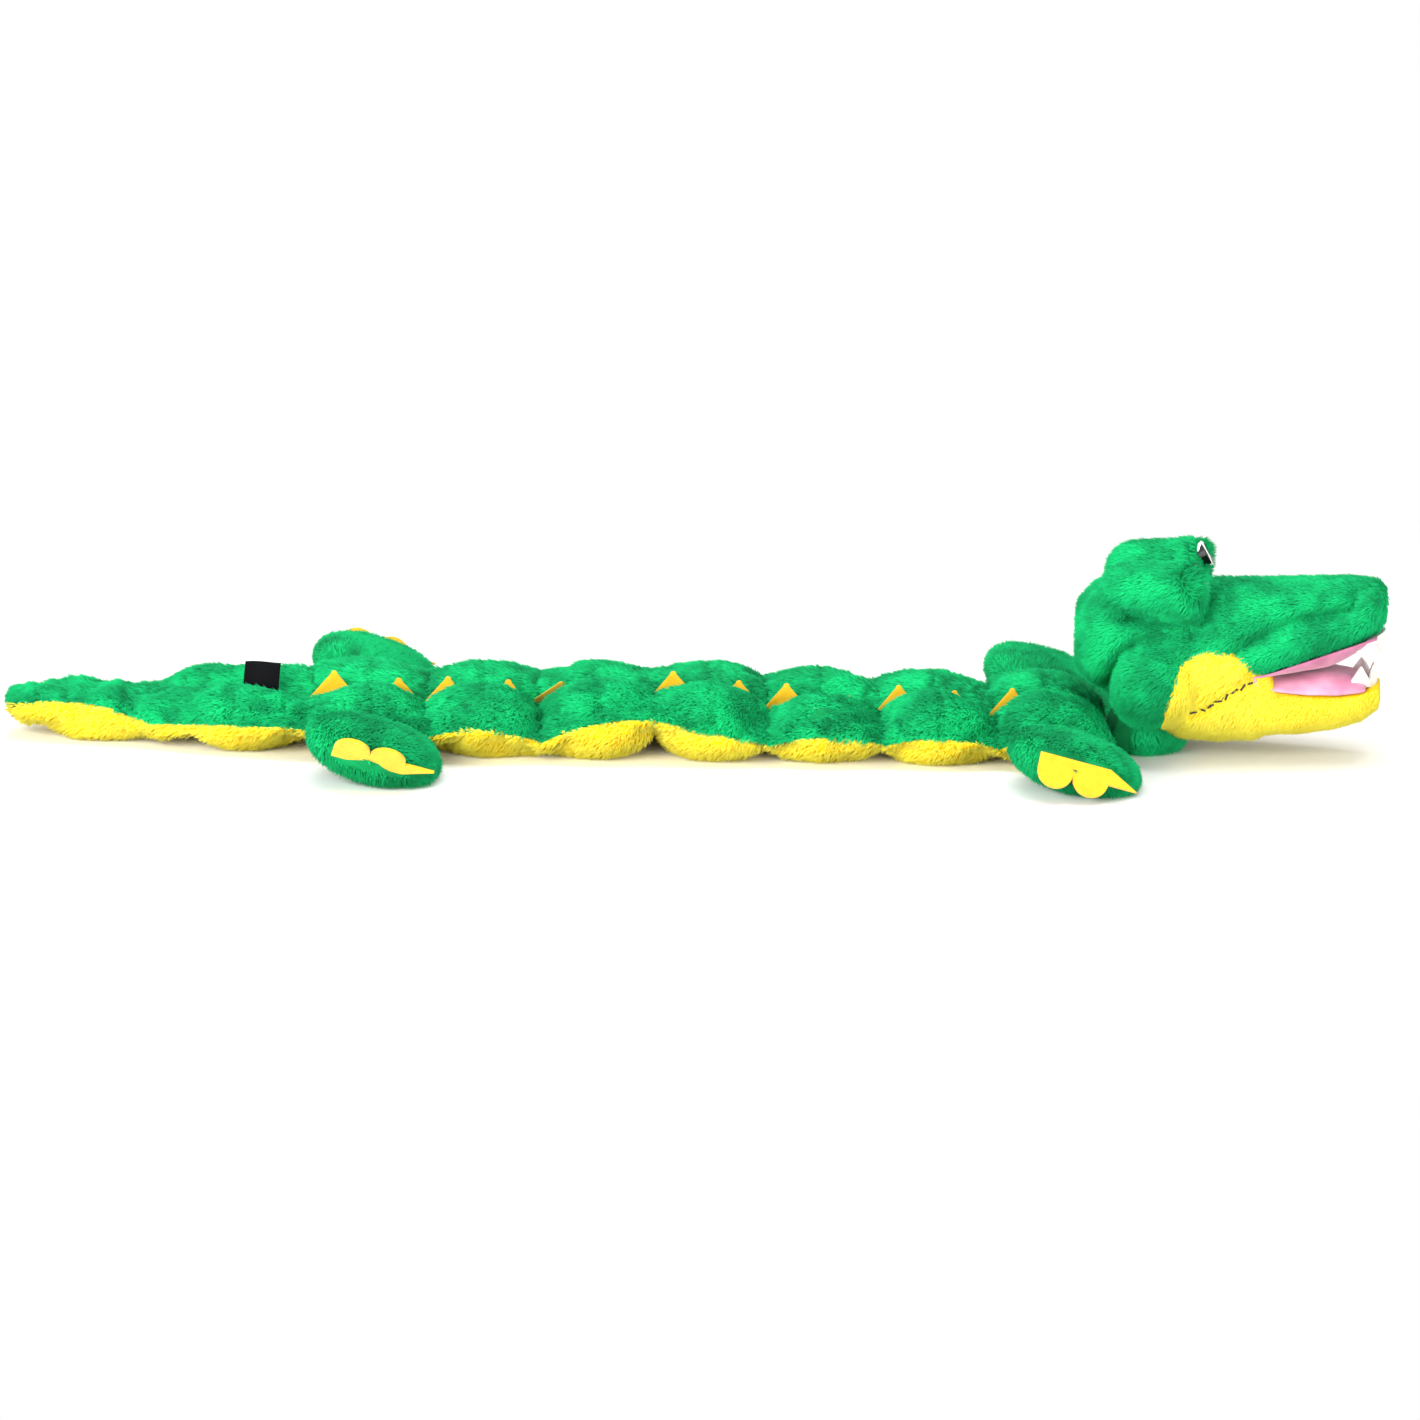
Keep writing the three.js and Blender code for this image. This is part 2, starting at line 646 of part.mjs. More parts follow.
// The whole upper head with its brows, cheeks and nostrils
function headForm() {
  let form = headSkin(
    HEAD_SECTION_shares,
    [HEAD_BACK_X, 0, headZ(HEAD_BACK_share)],
    [SNOUT_TIP_X, 0, headZ(HEAD_FRONT_share)],
  );
  const browZ = HEAD_HEIGHT - BROW_HEIGHT / 2;
  const cheekZ = CHEEK_BOTTOM + CHEEK_HEIGHT / 2;
  for (const side of [-1, 1]) {
    form = form
      .add(
        ellipsoid(BROW_LENGTH, BROW_WIDTH, BROW_HEIGHT, BULGE_SIDES).translate([
          headX(BROW_PLACE_share),
          (side * BROW_SPREAD) / 2,
          browZ,
        ]),
      )
      .add(
        ellipsoid(CHEEK_LENGTH, CHEEK_WIDTH, CHEEK_HEIGHT, BULGE_SIDES).translate([
          headX(CHEEK_PLACE_share),
          (side * CHEEK_SPREAD) / 2,
          cheekZ,
        ]),
      )
      .add(
        ellipsoid(NOSTRIL_SIZE, NOSTRIL_SIZE, NOSTRIL_SIZE, 8).translate([
          headX(NOSTRIL_PLACE_share),
          (side * NOSTRIL_SPREAD) / 2,
          headZ(NOSTRIL_HEIGHT_share),
        ]),
      );
  }
  return form;
}

function chestProfile(clearance) {
  const r = CHEST_RADIUS;
  const h = CHEST_HEIGHT;
  if (clearance) {
    const wide = (r + clearance) / Math.cos(Math.PI / CHEST_SIDES);
    return [[0, -OVERRUN], [wide, -OVERRUN], [wide, h + clearance], [0, h + clearance]];
  }
  return [[0, 0], [r * 0.75, 0], [r, h * 0.3], [r, h * 0.65], [r * 0.7, h], [0, h]];
}

function addChest(group) {
  const z = seamZ(ROWS);
  const far = TURN_X + CHEST_RADIUS + OVERRUN;
  const high = CHEST_HEIGHT + OVERRUN;
  const room = sideSolid(
    [
      [NECK_X + GAP / 2, z],
      [NECK_X + GAP / 2 + (z + OVERRUN) * FOLD_SLOPE, -OVERRUN],
      [far, -OVERRUN],
      [far, high],
      [NECK_X + GAP / 2 + (high - z) * FOLD_SLOPE, high],
    ],
    3 * CHEST_RADIUS,
  );
  const drum = turnedSolid(chestProfile(0), CHEST_SIDES).translate([TURN_X, 0, 0]);
  addPiece(group, "chest", drum.intersect(room), greenPlush);
}

// A side view outline grown by a distance
function grown(outline, distance) {
  return outline.map(([x, z], k) => {
    const [px, pz] = outline[(k + outline.length - 1) % outline.length];
    const [nx, nz] = outline[(k + 1) % outline.length];
    const along = new THREE.Vector2(nx - px, nz - pz).normalize();
    return [x - along.y * distance, z + along.x * distance];
  });
}

// The mouth's roof and floor are planes through its corner: their slopes, and a placing matrix
const roofAngle = Math.atan2(LIP_HEIGHT - MOUTH_HEIGHT, MOUTH_DEPTH);
const floorAngle = Math.atan2(JAW_HEIGHT - MOUTH_HEIGHT, MOUTH_DEPTH);
const mouthFrame = (angle) =>
  new THREE.Matrix4()
    .makeTranslation(MOUTH_X, 0, MOUTH_HEIGHT)
    .multiply(new THREE.Matrix4().makeRotationY(-angle)).elements;

// A lining sheet with a round front, on one side of a mouth plane
function lining(angle, face, radius) {
  const start = LINING_SETBACK;
  const end = MOUTH_DEPTH / Math.cos(angle) - UPPER_TEETH_RADIUS - TEETH_SETBACK;
  const wide = (HEAD_WIDTH / 2) * 0.62;
  const shape = new THREE.Shape();
  shape.moveTo(start, -wide);
  shape.lineTo(end, -radius);
  shape.absarc(end, 0, radius, -Math.PI / 2, Math.PI / 2, false);
  shape.lineTo(start, wide);
  const low = face > 0 ? GAP : -GAP - LINING;
  return planSolid(shape, LINING).translate([0, 0, low]).transform(mouthFrame(angle));
}

// A zigzag strip of felt teeth round the front of a jaw
function teeth(angle, face, radius) {
  const steps = 2 * TEETH_PER_JAW;
  const centre = MOUTH_DEPTH / Math.cos(angle) - UPPER_TEETH_RADIUS - TEETH_SETBACK;
  const sheet = (r) => (i, j) => {
    const turn = TOOTH_ARC * (i / steps - 1 / 2);
    const length = j ? (i % 2 ? TOOTH_LENGTH : TOOTH_BAND) : 0;
    const x = centre + r * Math.cos(turn) + face * length * Math.sin(angle);
    return [x, r * Math.sin(turn), face * (GAP + length * Math.cos(angle))];
  };
  return sheetSolid(steps, 1, sheet(radius + FELT / 2), sheet(radius - FELT / 2)).transform(
    mouthFrame(angle),
  );
}

// An eye, its flat back sunk in the brow, and the socket that holds it
function eye(side, clearance) {
  const r = EYE_DIAMETER / 2 + clearance;
  const back = -EYE_SUNK - clearance;
  const dome = turnedSolid(
    [
      [0, back],
      [r, back],
      [r, 0],
      [r * 0.8, (EYE_DEPTH - EYE_SUNK) * 0.7 + clearance],
      [0, EYE_DEPTH - EYE_SUNK + clearance],
    ],
    16,
  );
  const place = new THREE.Matrix4()
    .makeTranslation(
      headX(BROW_PLACE_share) + (BROW_LENGTH / 2) * Math.cos(EYE_TILT),
      (side * BROW_SPREAD) / 2,
      HEAD_HEIGHT - BROW_HEIGHT / 2 + (BROW_HEIGHT / 2) * Math.sin(EYE_TILT),
    )
    .multiply(new THREE.Matrix4().makeRotationY(Math.PI / 2 - EYE_TILT));
  return dome.transform(place.elements);
}

// The head's own group, turned about the axis of the neck
function turnedHead(group) {
  const turn = new THREE.Group();
  turn.position.set(TURN_X, 0, 0);
  turn.rotation.z = -HEAD_TURN;
  const head = new THREE.Group();
  head.position.set(-TURN_X, 0, 0);
  turn.add(head);
  group.add(turn);
  return head;
}

function addHead(group) {
  const across = HEAD_WIDTH + OVERRUN;
  const far = SNOUT_TIP_X + OVERRUN;
  const reach = MOUTH_DEPTH + OVERRUN;
  const roof = MOUTH_HEIGHT + reach * Math.tan(roofAngle);
  const floor = MOUTH_HEIGHT + reach * Math.tan(floorAngle);
  const notch = (MOUTH_HEIGHT + OVERRUN) * JAW_NOTCH_SLOPE;
  const mouth = sideSolid(
    [[MOUTH_X, MOUTH_HEIGHT], [MOUTH_X - notch, -OVERRUN], [far, -OVERRUN], [far, roof]],
    across,
  );
  const jawRoom = sideSolid(
    [
      [MOUTH_X + GAP, MOUTH_HEIGHT],
      [MOUTH_X + GAP + notch, -OVERRUN],
      [far, -OVERRUN],
      [far, floor],
    ],
    across,
  );
  const seam = [
    ...CHEEK_SEAM_shares.map(([along, up]) => [headX(along), headZ(up)]),
    [MOUTH_X, MOUTH_HEIGHT],
    [MOUTH_X + OVERRUN, MOUTH_HEIGHT - OVERRUN],
    [MOUTH_X + OVERRUN, -OVERRUN],
  ];
  const recess = turnedSolid(chestProfile(GAP), CHEST_SIDES).translate([TURN_X, 0, 0]);
  const form = headForm().subtract(mouth).subtract(recess);

  let crown = form.subtract(sideSolid(grown(seam, GAP), across));
  for (const side of [-1, 1]) crown = crown.subtract(eye(side, GAP));
  addPiece(group, "head_crown", crown, greenPlush);
  addPiece(group, "cheek_gusset", form.intersect(sideSolid(seam, across)), yellowPlush);
  addPiece(group, "eye_right", eye(-1, 0), eyePlastic);
  addPiece(group, "eye_left", eye(1, 0), eyePlastic);
  addPiece(group, "palate_lining", lining(roofAngle, -1, LOWER_TEETH_RADIUS), pinkLining);
  addPiece(group, "upper_teeth", teeth(roofAngle, -1, UPPER_TEETH_RADIUS), whiteFelt);

  const [frontAlong, frontUp] = JAW_FRONT_share;
  const [backAlong] = JAW_SECTION_shares[0];
  const jaw = headSkin(
    JAW_SECTION_shares,
    [headX(backAlong) - OVERRUN, 0, MOUTH_HEIGHT / 2],
    [headX(frontAlong), 0, headZ(frontUp)],
  );
  addPiece(group, "lower_jaw", jaw.intersect(jawRoom), yellowPlush);
  addPiece(group, "tongue_lining", lining(floorAngle, 1, LOWER_TEETH_RADIUS - 2 * FELT), pinkLining);
  addPiece(group, "lower_teeth", teeth(floorAngle, 1, LOWER_TEETH_RADIUS), whiteFelt);
}

const toy = new THREE.Group();
addTail(toy);
for (let i = 0; i < ROWS; i++) addRow(toy, i);
addLegs(toy);
addChest(toy);
addHead(turnedHead(toy));

export default toy;
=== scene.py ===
"""Looks of a squeaky alligator dog toy: long-pile plush pockets, legs, tail and head with felt
spikes, claws and teeth, a knitted mouth lining, closing stitches and a blank woven label."""

import json
import math

import bmesh
import bpy
import numpy as np
from mathutils import Matrix, Vector, noise
from mathutils.bvhtree import BVHTree


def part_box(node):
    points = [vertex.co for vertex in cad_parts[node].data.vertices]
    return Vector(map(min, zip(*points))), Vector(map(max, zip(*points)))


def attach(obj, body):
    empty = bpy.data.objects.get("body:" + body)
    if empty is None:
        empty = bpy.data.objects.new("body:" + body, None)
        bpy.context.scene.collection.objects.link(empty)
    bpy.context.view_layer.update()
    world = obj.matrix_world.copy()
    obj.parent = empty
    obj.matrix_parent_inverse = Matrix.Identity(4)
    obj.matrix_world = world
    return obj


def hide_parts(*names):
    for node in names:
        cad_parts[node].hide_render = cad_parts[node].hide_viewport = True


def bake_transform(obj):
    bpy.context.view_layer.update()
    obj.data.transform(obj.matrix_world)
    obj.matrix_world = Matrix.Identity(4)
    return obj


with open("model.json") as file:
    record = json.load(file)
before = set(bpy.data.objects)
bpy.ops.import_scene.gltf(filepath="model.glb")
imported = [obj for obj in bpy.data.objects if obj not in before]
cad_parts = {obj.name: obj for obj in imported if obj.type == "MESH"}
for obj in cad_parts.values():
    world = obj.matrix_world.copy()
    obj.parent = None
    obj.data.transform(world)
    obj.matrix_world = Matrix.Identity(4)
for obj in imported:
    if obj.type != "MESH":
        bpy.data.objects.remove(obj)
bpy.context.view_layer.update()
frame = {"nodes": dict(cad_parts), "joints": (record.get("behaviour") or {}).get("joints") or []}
scene = bpy.context.scene

MM = 0.001

# Pile: tufts of polyester plush, drawn thicker than single fibres so that they show
PILE_LENGTH = 5.5
PILE_WIDTH = 1.3
PILE_LEAN = math.radians(54)
PILE_DENSITY = 1.25  # tufts a square millimetre
UNDERSIDE_DENSITY = 0.6
FLOOR_CLEARANCE = 0.4
CLOTH_SHARE = 0.2  # of the bake map, the rest is for the tufts
TUFT_SHARE = 0.8  # of a tuft's own square in that map, the rest is margin
TUFT_STRAY = 0.22
NAP_SHARE = 0.65  # how far a tuft is shaded as the cloth under it is
BARE = 0.05  # no tufts where the pile is lower than this share
CLOTH_INSET = 3.2  # the pile's tips reach the solid's surface
RIM_INSET = CLOTH_INSET * 0.6
LEG_INSET = CLOTH_INSET * 0.7
BELLY_INSET = CLOTH_INSET * 0.35

# The body's seams lie where its joints fold it
JOINTS = {joint["name"]: np.array(joint["pos_m"]) / MM for joint in frame["joints"]}
ROW_SEAMS = [JOINTS[name][[0, 2]] for name in (
    "fold_tail_base", "fold_2_1", "fold_3_2", "fold_4_3",
    "fold_4_5", "fold_5_6", "fold_6_7", "neck_fold")]
ROWS = len(ROW_SEAMS) - 1
TAIL_SEAM = JOINTS["fold_tail_tip"][[0, 2]]
TURN_X = JOINTS["head_turn"][0]


def box_mm(node):
    return [np.array(corner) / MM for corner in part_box(node)]


def vectors(x, y, z):
    return np.stack(np.broadcast_arrays(x, y, z), axis=-1)


def axes(points):
    return np.moveaxis(np.asarray(points, float), -1, 0)


def lerp(a, b, t):
    return a + (b - a) * t


def falloff(distance, width):
    return np.exp(-((distance / width) ** 2))


def eased(steps):
    """Places from 0 to 1, closer together at both ends."""
    return (1 - np.cos(np.linspace(0, np.pi, steps + 1))) / 2


def table_at(table, places):
    """A table's further columns, read off where its first one has these values."""
    first, *others = np.array(table).T
    return [np.interp(places, first, column) for column in others]


def ripple(points, size_mm, seed):
    """Smooth noise from -1 to 1 at each point."""
    offset = Vector((seed * 7.3, seed * 3.1, seed * 5.7))
    flat = np.asarray(points, float).reshape(-1, 3)
    values = [noise.noise(Vector(p / size_mm) + offset) for p in flat]
    return np.array(values).reshape(np.shape(points)[:-1])


def new_object(name, data):
    made = bpy.data.objects.new(name, data)
    scene.collection.objects.link(made)
    return made


def new_piece(name, points, edges, faces):
    """A mesh object from points in millimetres."""
    mesh = bpy.data.meshes.new(name)
    mesh.from_pydata(np.array(points) * MM, edges, faces)
    return new_object(name, mesh)


def surface_of(piece):
    """A piece as a tree that finds places on its surface, in metres."""
    return BVHTree.FromPolygons([piece.matrix_world @ v.co for v in piece.data.vertices],
                                [tuple(face.vertices) for face in piece.data.polygons])


# Node trees


def port(sockets, key):
    if isinstance(key, int):
        return sockets[key]
    return next(s for s in sockets if s.name == key and s.enabled)


def add(tree, kind, inputs=None, **settings):
    """Adds a node with its settings, and sets or links its inputs by name or place."""
    made = tree.nodes.new(kind)
    for name, value in settings.items():
        setattr(made, name, value)
    for key, value in (inputs or {}).items():
        socket = port(made.inputs, key)
        if isinstance(value, bpy.types.NodeSocket):
            tree.links.new(value, socket)
        else:
            socket.default_value = value
    return made


def put(tree, kind, inputs=None, key=0, **settings):
    """Adds a node and returns its output of this name or place."""
    return port(add(tree, kind, inputs, **settings).outputs, key)


def maths(tree, operation, a, b=0.0, c=0.0):
    return put(tree, "ShaderNodeMath", {0: a, 1: b, 2: c}, operation=operation)


def separate(tree, vector):
    return add(tree, "ShaderNodeSeparateXYZ", {0: vector}).outputs


def object_place(tree):
    return put(tree, "ShaderNodeTexCoord", key="Object")


# Materials


def linear(colour):
    """A colour that is written in sRGB, as linear light."""
    channels = [int(colour[i : i + 2], 16) / 255 for i in (1, 3, 5)]
    return [c / 12.92 if c <= 0.04045 else ((c + 0.055) / 1.055) ** 2.4 for c in channels] + [1]


def material(name, settings):
    """A material whose shader has these settings, with its tree and that shader."""
    made = bpy.data.materials.new(name)
    made.use_nodes = True
    shader = made.node_tree.nodes["Principled BSDF"]
    for key, value in settings.items():
        shader.inputs[key].default_value = value
    return made, made.node_tree, shader


def noise_at(tree, size_mm, detail=2.0, roughness=0.5):
    """Noise in the piece's own coordinates, with features of about this size."""
    return put(tree, "ShaderNodeTexNoise", {
        "Vector": object_place(tree), "Scale": 1 / (size_mm * MM), "Detail": detail,
        "Roughness": roughness}, "Fac")


def ramp(tree, factor, *stops):
    made = add(tree, "ShaderNodeValToRGB", {"Fac": factor})
    elements = made.color_ramp.elements
    while len(elements) < len(stops):
        elements.new(0.5)
    for element, (place, colour) in zip(elements, stops):
        element.position = place
        element.color = linear(colour)
    return port(made.outputs, "Color")


def mix(tree, factor, a, b, blend="MIX"):
    return put(tree, "ShaderNodeMix", {0: factor, 6: a, 7: b}, 2,
               data_type="RGBA", blend_type=blend)


def paint(tree, shader, colour, relief=None, depth_mm=0.0, strength=0.6):
    """Gives a shader its colour and, where there is one, its relief."""
    tree.links.new(colour, shader.inputs["Base Color"])
    if relief is not None:
        inputs = {"Height": relief, "Distance": depth_mm * MM, "Strength": strength}
        tree.links.new(put(tree, "ShaderNodeBump", inputs), shader.inputs["Normal"])


def plush(name, root, middle, tip, flattened):
    """Polyester plush: fibres that scatter light, darker at the root as painted shade down among
    the tufts, with brushed patches.
    """
    made, tree, shader = material(name, {
        "Roughness": 0.85, "Specular IOR Level": 0.15, "Sheen Weight": 0.3,
        "Sheen Roughness": 0.4, "Sheen Tint": linear(tip)})
    along, tone = (put(tree, "ShaderNodeAttribute", key="Fac", attribute_name=stored)
                   for stored in ("along", "tone"))
    height = maths(tree, "MULTIPLY_ADD", tone, 0.2, maths(tree, "MULTIPLY", along, 0.8))
    # Painted shade: each tuft runs from a dark root to a light tip
    shaded = ramp(tree, height, (0.0, root), (0.45, middle), (1.0, tip))
    brushed = ramp(tree, noise_at(tree, 26, 3.0, 0.6), (0.38, flattened), (0.6, "#ffffff"))
    paint(tree, shader, mix(tree, 1.0, shaded, brushed, "MULTIPLY"))
    return made


def felt(name, dark, light):
    """Wool felt: matted fibres, matt and slightly mottled, with a faint fuzz."""
    made, tree, shader = material(name, {
        "Roughness": 0.95, "Sheen Weight": 0.2, "Specular IOR Level": 0.2})
    fibres = noise_at(tree, 0.9, 6.0, 0.7)
    height = maths(tree, "MULTIPLY_ADD", noise_at(tree, 6), 0.4,
                   maths(tree, "MULTIPLY", fibres, 0.6))
    paint(tree, shader, ramp(tree, height, (0.3, dark), (0.7, light)), fibres, 0.4)
    return made


LINING_SHADE_FROM = 50.0  # height at which painted shade starts to darken the lining, and ends to
LINING_SHADE_TO = 62.0


def knitted_lining():
    """Knitted lining: brushed loops with a soft sheen, and a darker pink at the mouth's roof that
    is painted shade.
    """
    made, tree, shader = material("brushed tricot lining pink", {
        "Roughness": 0.75, "Sheen Weight": 0.3})
    folds = noise_at(tree, 16)
    tongue = ramp(tree, folds, (0.3, "#cf7f9e"), (0.7, "#e5a5bd"))
    # Painted shade: the roof's darker pinks, the same fabric as the tongue's
    roof = ramp(tree, folds, (0.3, "#9d4f72"), (0.7, "#bb7292"))
    # Share of painted shade, from none at the lower height to all at the upper one
    deep = put(tree, "ShaderNodeMapRange", {
        "Value": separate(tree, object_place(tree))["Z"],
        "From Min": LINING_SHADE_FROM * MM, "From Max": LINING_SHADE_TO * MM})
    paint(tree, shader, mix(tree, deep, tongue, roof), noise_at(tree, 0.8, 4.0, 0.6), 0.25)
    return made


THREAD_PITCH = 0.5


def woven_ribbon():
    """Woven polyester ribbon: warp and weft threads, blank."""
    made, tree, shader = material("woven polyester ribbon black", {
        "Roughness": 0.7, "Specular IOR Level": 0.08})
    inputs = {"Vector": object_place(tree), "Scale": 1 / (THREAD_PITCH * MM) / math.tau,
              "Distortion": 0.4}
    threads = maths(tree, "MULTIPLY", *(
        put(tree, "ShaderNodeTexWave", inputs, "Fac", bands_direction=way) for way in "ZX"))
    paint(tree, shader, ramp(tree, threads, (0.1, "#030305"), (0.9, "#121016")), threads, 0.15)
    return made


def soft_vinyl():
    """Soft vinyl: moulded, matt, slightly clouded."""
    made, tree, shader = material("soft PVC squeaker", {
        "Roughness": 0.5, "Subsurface Weight": 0.1})
    colour = ramp(tree, noise_at(tree, 9, 3.0), (0.3, "#d8d2c2"), (0.7, "#efeadd"))
    paint(tree, shader, colour, noise_at(tree, 1.5, 3.0), 0.05, 0.3)
    return made


def sewing_thread():
    """Polyester sewing thread: twisted, slightly glossy."""
    made, tree, shader = material("polyester thread black", {"Roughness": 0.6})
    paint(tree, shader, ramp(tree, noise_at(tree, 0.5), (0.3, "#0c0b0d"), (0.7, "#2b2a2e")))
    return made


HEAD_TURN = 0.136  # to the toy's right, as it lies
EYE_SPREAD = 74.0
EYE_HEIGHT = 117.5
EYE_RADII = (7.5, 8.0)  # across and up
EYE_RIM = (0.72, 0.98)  # the white rim's edges, as squared shares of the radii


def eye_plastic():
    """Polished eye plastic: dark and glossy, with a white rim."""
    made, tree, shader = material("polished ABS eye", {"Roughness": 0.12, "Coat Weight": 0.5})
    place = separate(tree, put(tree, "ShaderNodeVectorRotate", {
        "Vector": object_place(tree), "Center": (TURN_X * MM, 0, 0), "Axis": (0, 0, 1),
        "Angle": HEAD_TURN}))
    squares = []
    for axis, middle, radius in zip("YZ", (EYE_SPREAD / 2, EYE_HEIGHT), EYE_RADII):
        off = maths(tree, "SUBTRACT", maths(tree, "ABSOLUTE", place[axis]), middle * MM)
        off = maths(tree, "DIVIDE", off, radius * MM)
        squares.append(maths(tree, "MULTIPLY", off, off))
    far = maths(tree, "ADD", *squares)
    rim = maths(tree, "MULTIPLY", maths(tree, "GREATER_THAN", far, EYE_RIM[0]),
                maths(tree, "LESS_THAN", far, EYE_RIM[1]))
    white = ramp(tree, noise_at(tree, 3), (0.3, "#f2f0e8"), (0.7, "#ffffff"))
    paint(tree, shader, mix(tree, rim, linear("#0a0a0c"), white))
    return made


# The root colours are darker as painted shade down among the tufts
GREEN_PLUSH = plush("polyester plush green", "#028a4c", "#04b466", "#1fdc86", "#c4c4c4")
YELLOW_PLUSH = plush("polyester plush yellow", "#fccc10", "#ffec38", "#fff968", "#f1eee8")
YELLOW_FELT = felt("wool felt yellow", "#dba012", "#f0c02a")
WHITE_FELT = felt("wool felt white", "#d4d2c8", "#ecebe6")
PINK_LINING = knitted_lining()
BLACK_RIBBON = woven_ribbon()
SOFT_VINYL = soft_vinyl()
BLACK_THREAD = sewing_thread()
EYE_PLASTIC = eye_plastic()


# Pile and stitches


def new_tree(name, numbers):
    """A geometry tree that is given a geometry, these numbers, a seed and a material."""
    tree = bpy.data.node_groups.new(name, "GeometryNodeTree")
    for label, kind in (("Geometry", "Geometry"), *((number, "Float") for number in numbers),
                        ("Seed", "Int"), ("Material", "Material")):
        tree.interface.new_socket(label, in_out="INPUT", socket_type=f"NodeSocket{kind}")
    tree.interface.new_socket("Geometry", in_out="OUTPUT", socket_type="NodeSocketGeometry")
    return tree, add(tree, "NodeGroupInput").outputs


def pile_tree():
    """A tree that stands tufts on a cloth, each leaning along the cloth's comb."""
    tree, given = new_tree("pile", ("Length", "Width", "Lean", "Density", "Cloth share", "Floor"))
    cloth, seed = given["Geometry"], given["Seed"]

    def stored(name, kind="FLOAT_VECTOR"):
        return put(tree, "GeometryNodeInputNamedAttribute", {"Name": name}, "Attribute",
                   data_type=kind)

    def store(geometry, name, value, kind, domain):
        return put(tree, "GeometryNodeStoreNamedAttribute", {
            "Geometry": geometry, "Name": name, "Value": value}, data_type=kind, domain=domain)

    def random(low, high, offset):
        inputs = {2: low, 3: high, "Seed": maths(tree, "ADD", seed, offset)}
        return put(tree, "FunctionNodeRandomValue", inputs, 1, data_type="FLOAT")

    def combined(*parts):
        return put(tree, "ShaderNodeCombineXYZ", dict(enumerate(parts)))

    def scaled(vector, scale):
        return put(tree, "ShaderNodeVectorMath", {0: vector, "Scale": scale}, operation="SCALE")

    def total(a, b):
        return put(tree, "ShaderNodeVectorMath", {0: a, 1: b}, operation="ADD")

    # Points on the cloth, with the way its tufts lean
    pile = stored("pile", "FLOAT")
    marked = store(cloth, "cloth normal", put(tree, "GeometryNodeInputNormal"),
                   "FLOAT_VECTOR", "POINT")
    spread = add(tree, "GeometryNodeDistributePointsOnFaces", {
        "Mesh": marked, "Density": given["Density"], "Seed": seed}).outputs
    bare = maths(tree, "LESS_THAN", pile, BARE)
    kept = put(tree, "GeometryNodeDeleteGeometry", {
        "Geometry": spread["Points"], "Selection": bare}, domain="POINT")
    upright = scaled(spread["Normal"], maths(tree, "COSINE", given["Lean"]))
    combed = scaled(stored("comb"), maths(tree, "SINE", given["Lean"]))
    stray = combined(*(random(-TUFT_STRAY, TUFT_STRAY, k) for k in (11, 12, 13)))
    way = total(total(upright, combed), stray)
    turned_to = put(tree, "FunctionNodeAlignRotationToVector", {"Vector": way}, axis="Z")

    # One tuft, a thin cone with its own square of the bake map
    tuft = put(tree, "GeometryNodeMeshCone", {
        "Vertices": 3, "Side Segments": 1, "Radius Top": 0.0,
        "Radius Bottom": maths(tree, "MULTIPLY", given["Width"], 0.5),
        "Depth": given["Length"]}, "Mesh", fill_type="NGON")
    place = separate(tree, put(tree, "GeometryNodeInputPosition"))
    along = maths(tree, "DIVIDE", place["Z"], given["Length"])
    across = maths(tree, "DIVIDE", place["X"], given["Width"])
    tuft = store(tuft, "along", along, "FLOAT", "POINT")
    tuft = store(tuft, "OFBake", combined(across, along), "FLOAT2", "CORNER")

    # The tufts on the points
    tall = maths(tree, "MULTIPLY", random(0.75, 1.15, 3), pile)
    kept = store(kept, "nap", stored("cloth normal"), "FLOAT_VECTOR", "POINT")
    stood = put(tree, "GeometryNodeInstanceOnPoints", {
        "Points": kept, "Instance": tuft, "Rotation": turned_to,
        "Scale": combined(random(0.8, 1.2, 2), 1.0, tall)})
    stood = store(stood, "tone", random(0.0, 1.0, 4), "FLOAT", "INSTANCE")
    stood = store(stood, "tuft", put(tree, "GeometryNodeInputIndex"), "INT", "INSTANCE")
    count = put(tree, "GeometryNodeAttributeDomainSize", {"Geometry": stood}, "Instance Count",
                component="INSTANCES")
    real = put(tree, "GeometryNodeRealizeInstances", {"Geometry": stood})

    # Each tuft's place in the bake map, above the cloth's share
    cells = maths(tree, "CEIL", maths(tree, "SQRT", count))
    number = stored("tuft", "INT")
    row = maths(tree, "FLOOR", maths(tree, "DIVIDE", number, cells))
    column = maths(tree, "MODULO", number, cells)
    own = separate(tree, stored("OFBake"))
    u = maths(tree, "ADD", column, maths(tree, "MULTIPLY_ADD", own["X"], TUFT_SHARE, 0.5))
    v = maths(tree, "ADD", row, maths(tree, "MULTIPLY_ADD", own["Y"], TUFT_SHARE, 0.1))
    u, v = (maths(tree, "DIVIDE", part, cells) for part in (u, v))
    share = given["Cloth share"]
    v = maths(tree, "MULTIPLY_ADD", v, maths(tree, "SUBTRACT", 1.0, share), share)
    real = store(real, "OFBake", combined(u, v), "FLOAT2", "CORNER")
    real = put(tree, "GeometryNodeSetMaterial", {"Geometry": real, "Material": given["Material"]})
    real = put(tree, "GeometryNodeSetShadeSmooth", {"Geometry": real, "Shade Smooth": True})

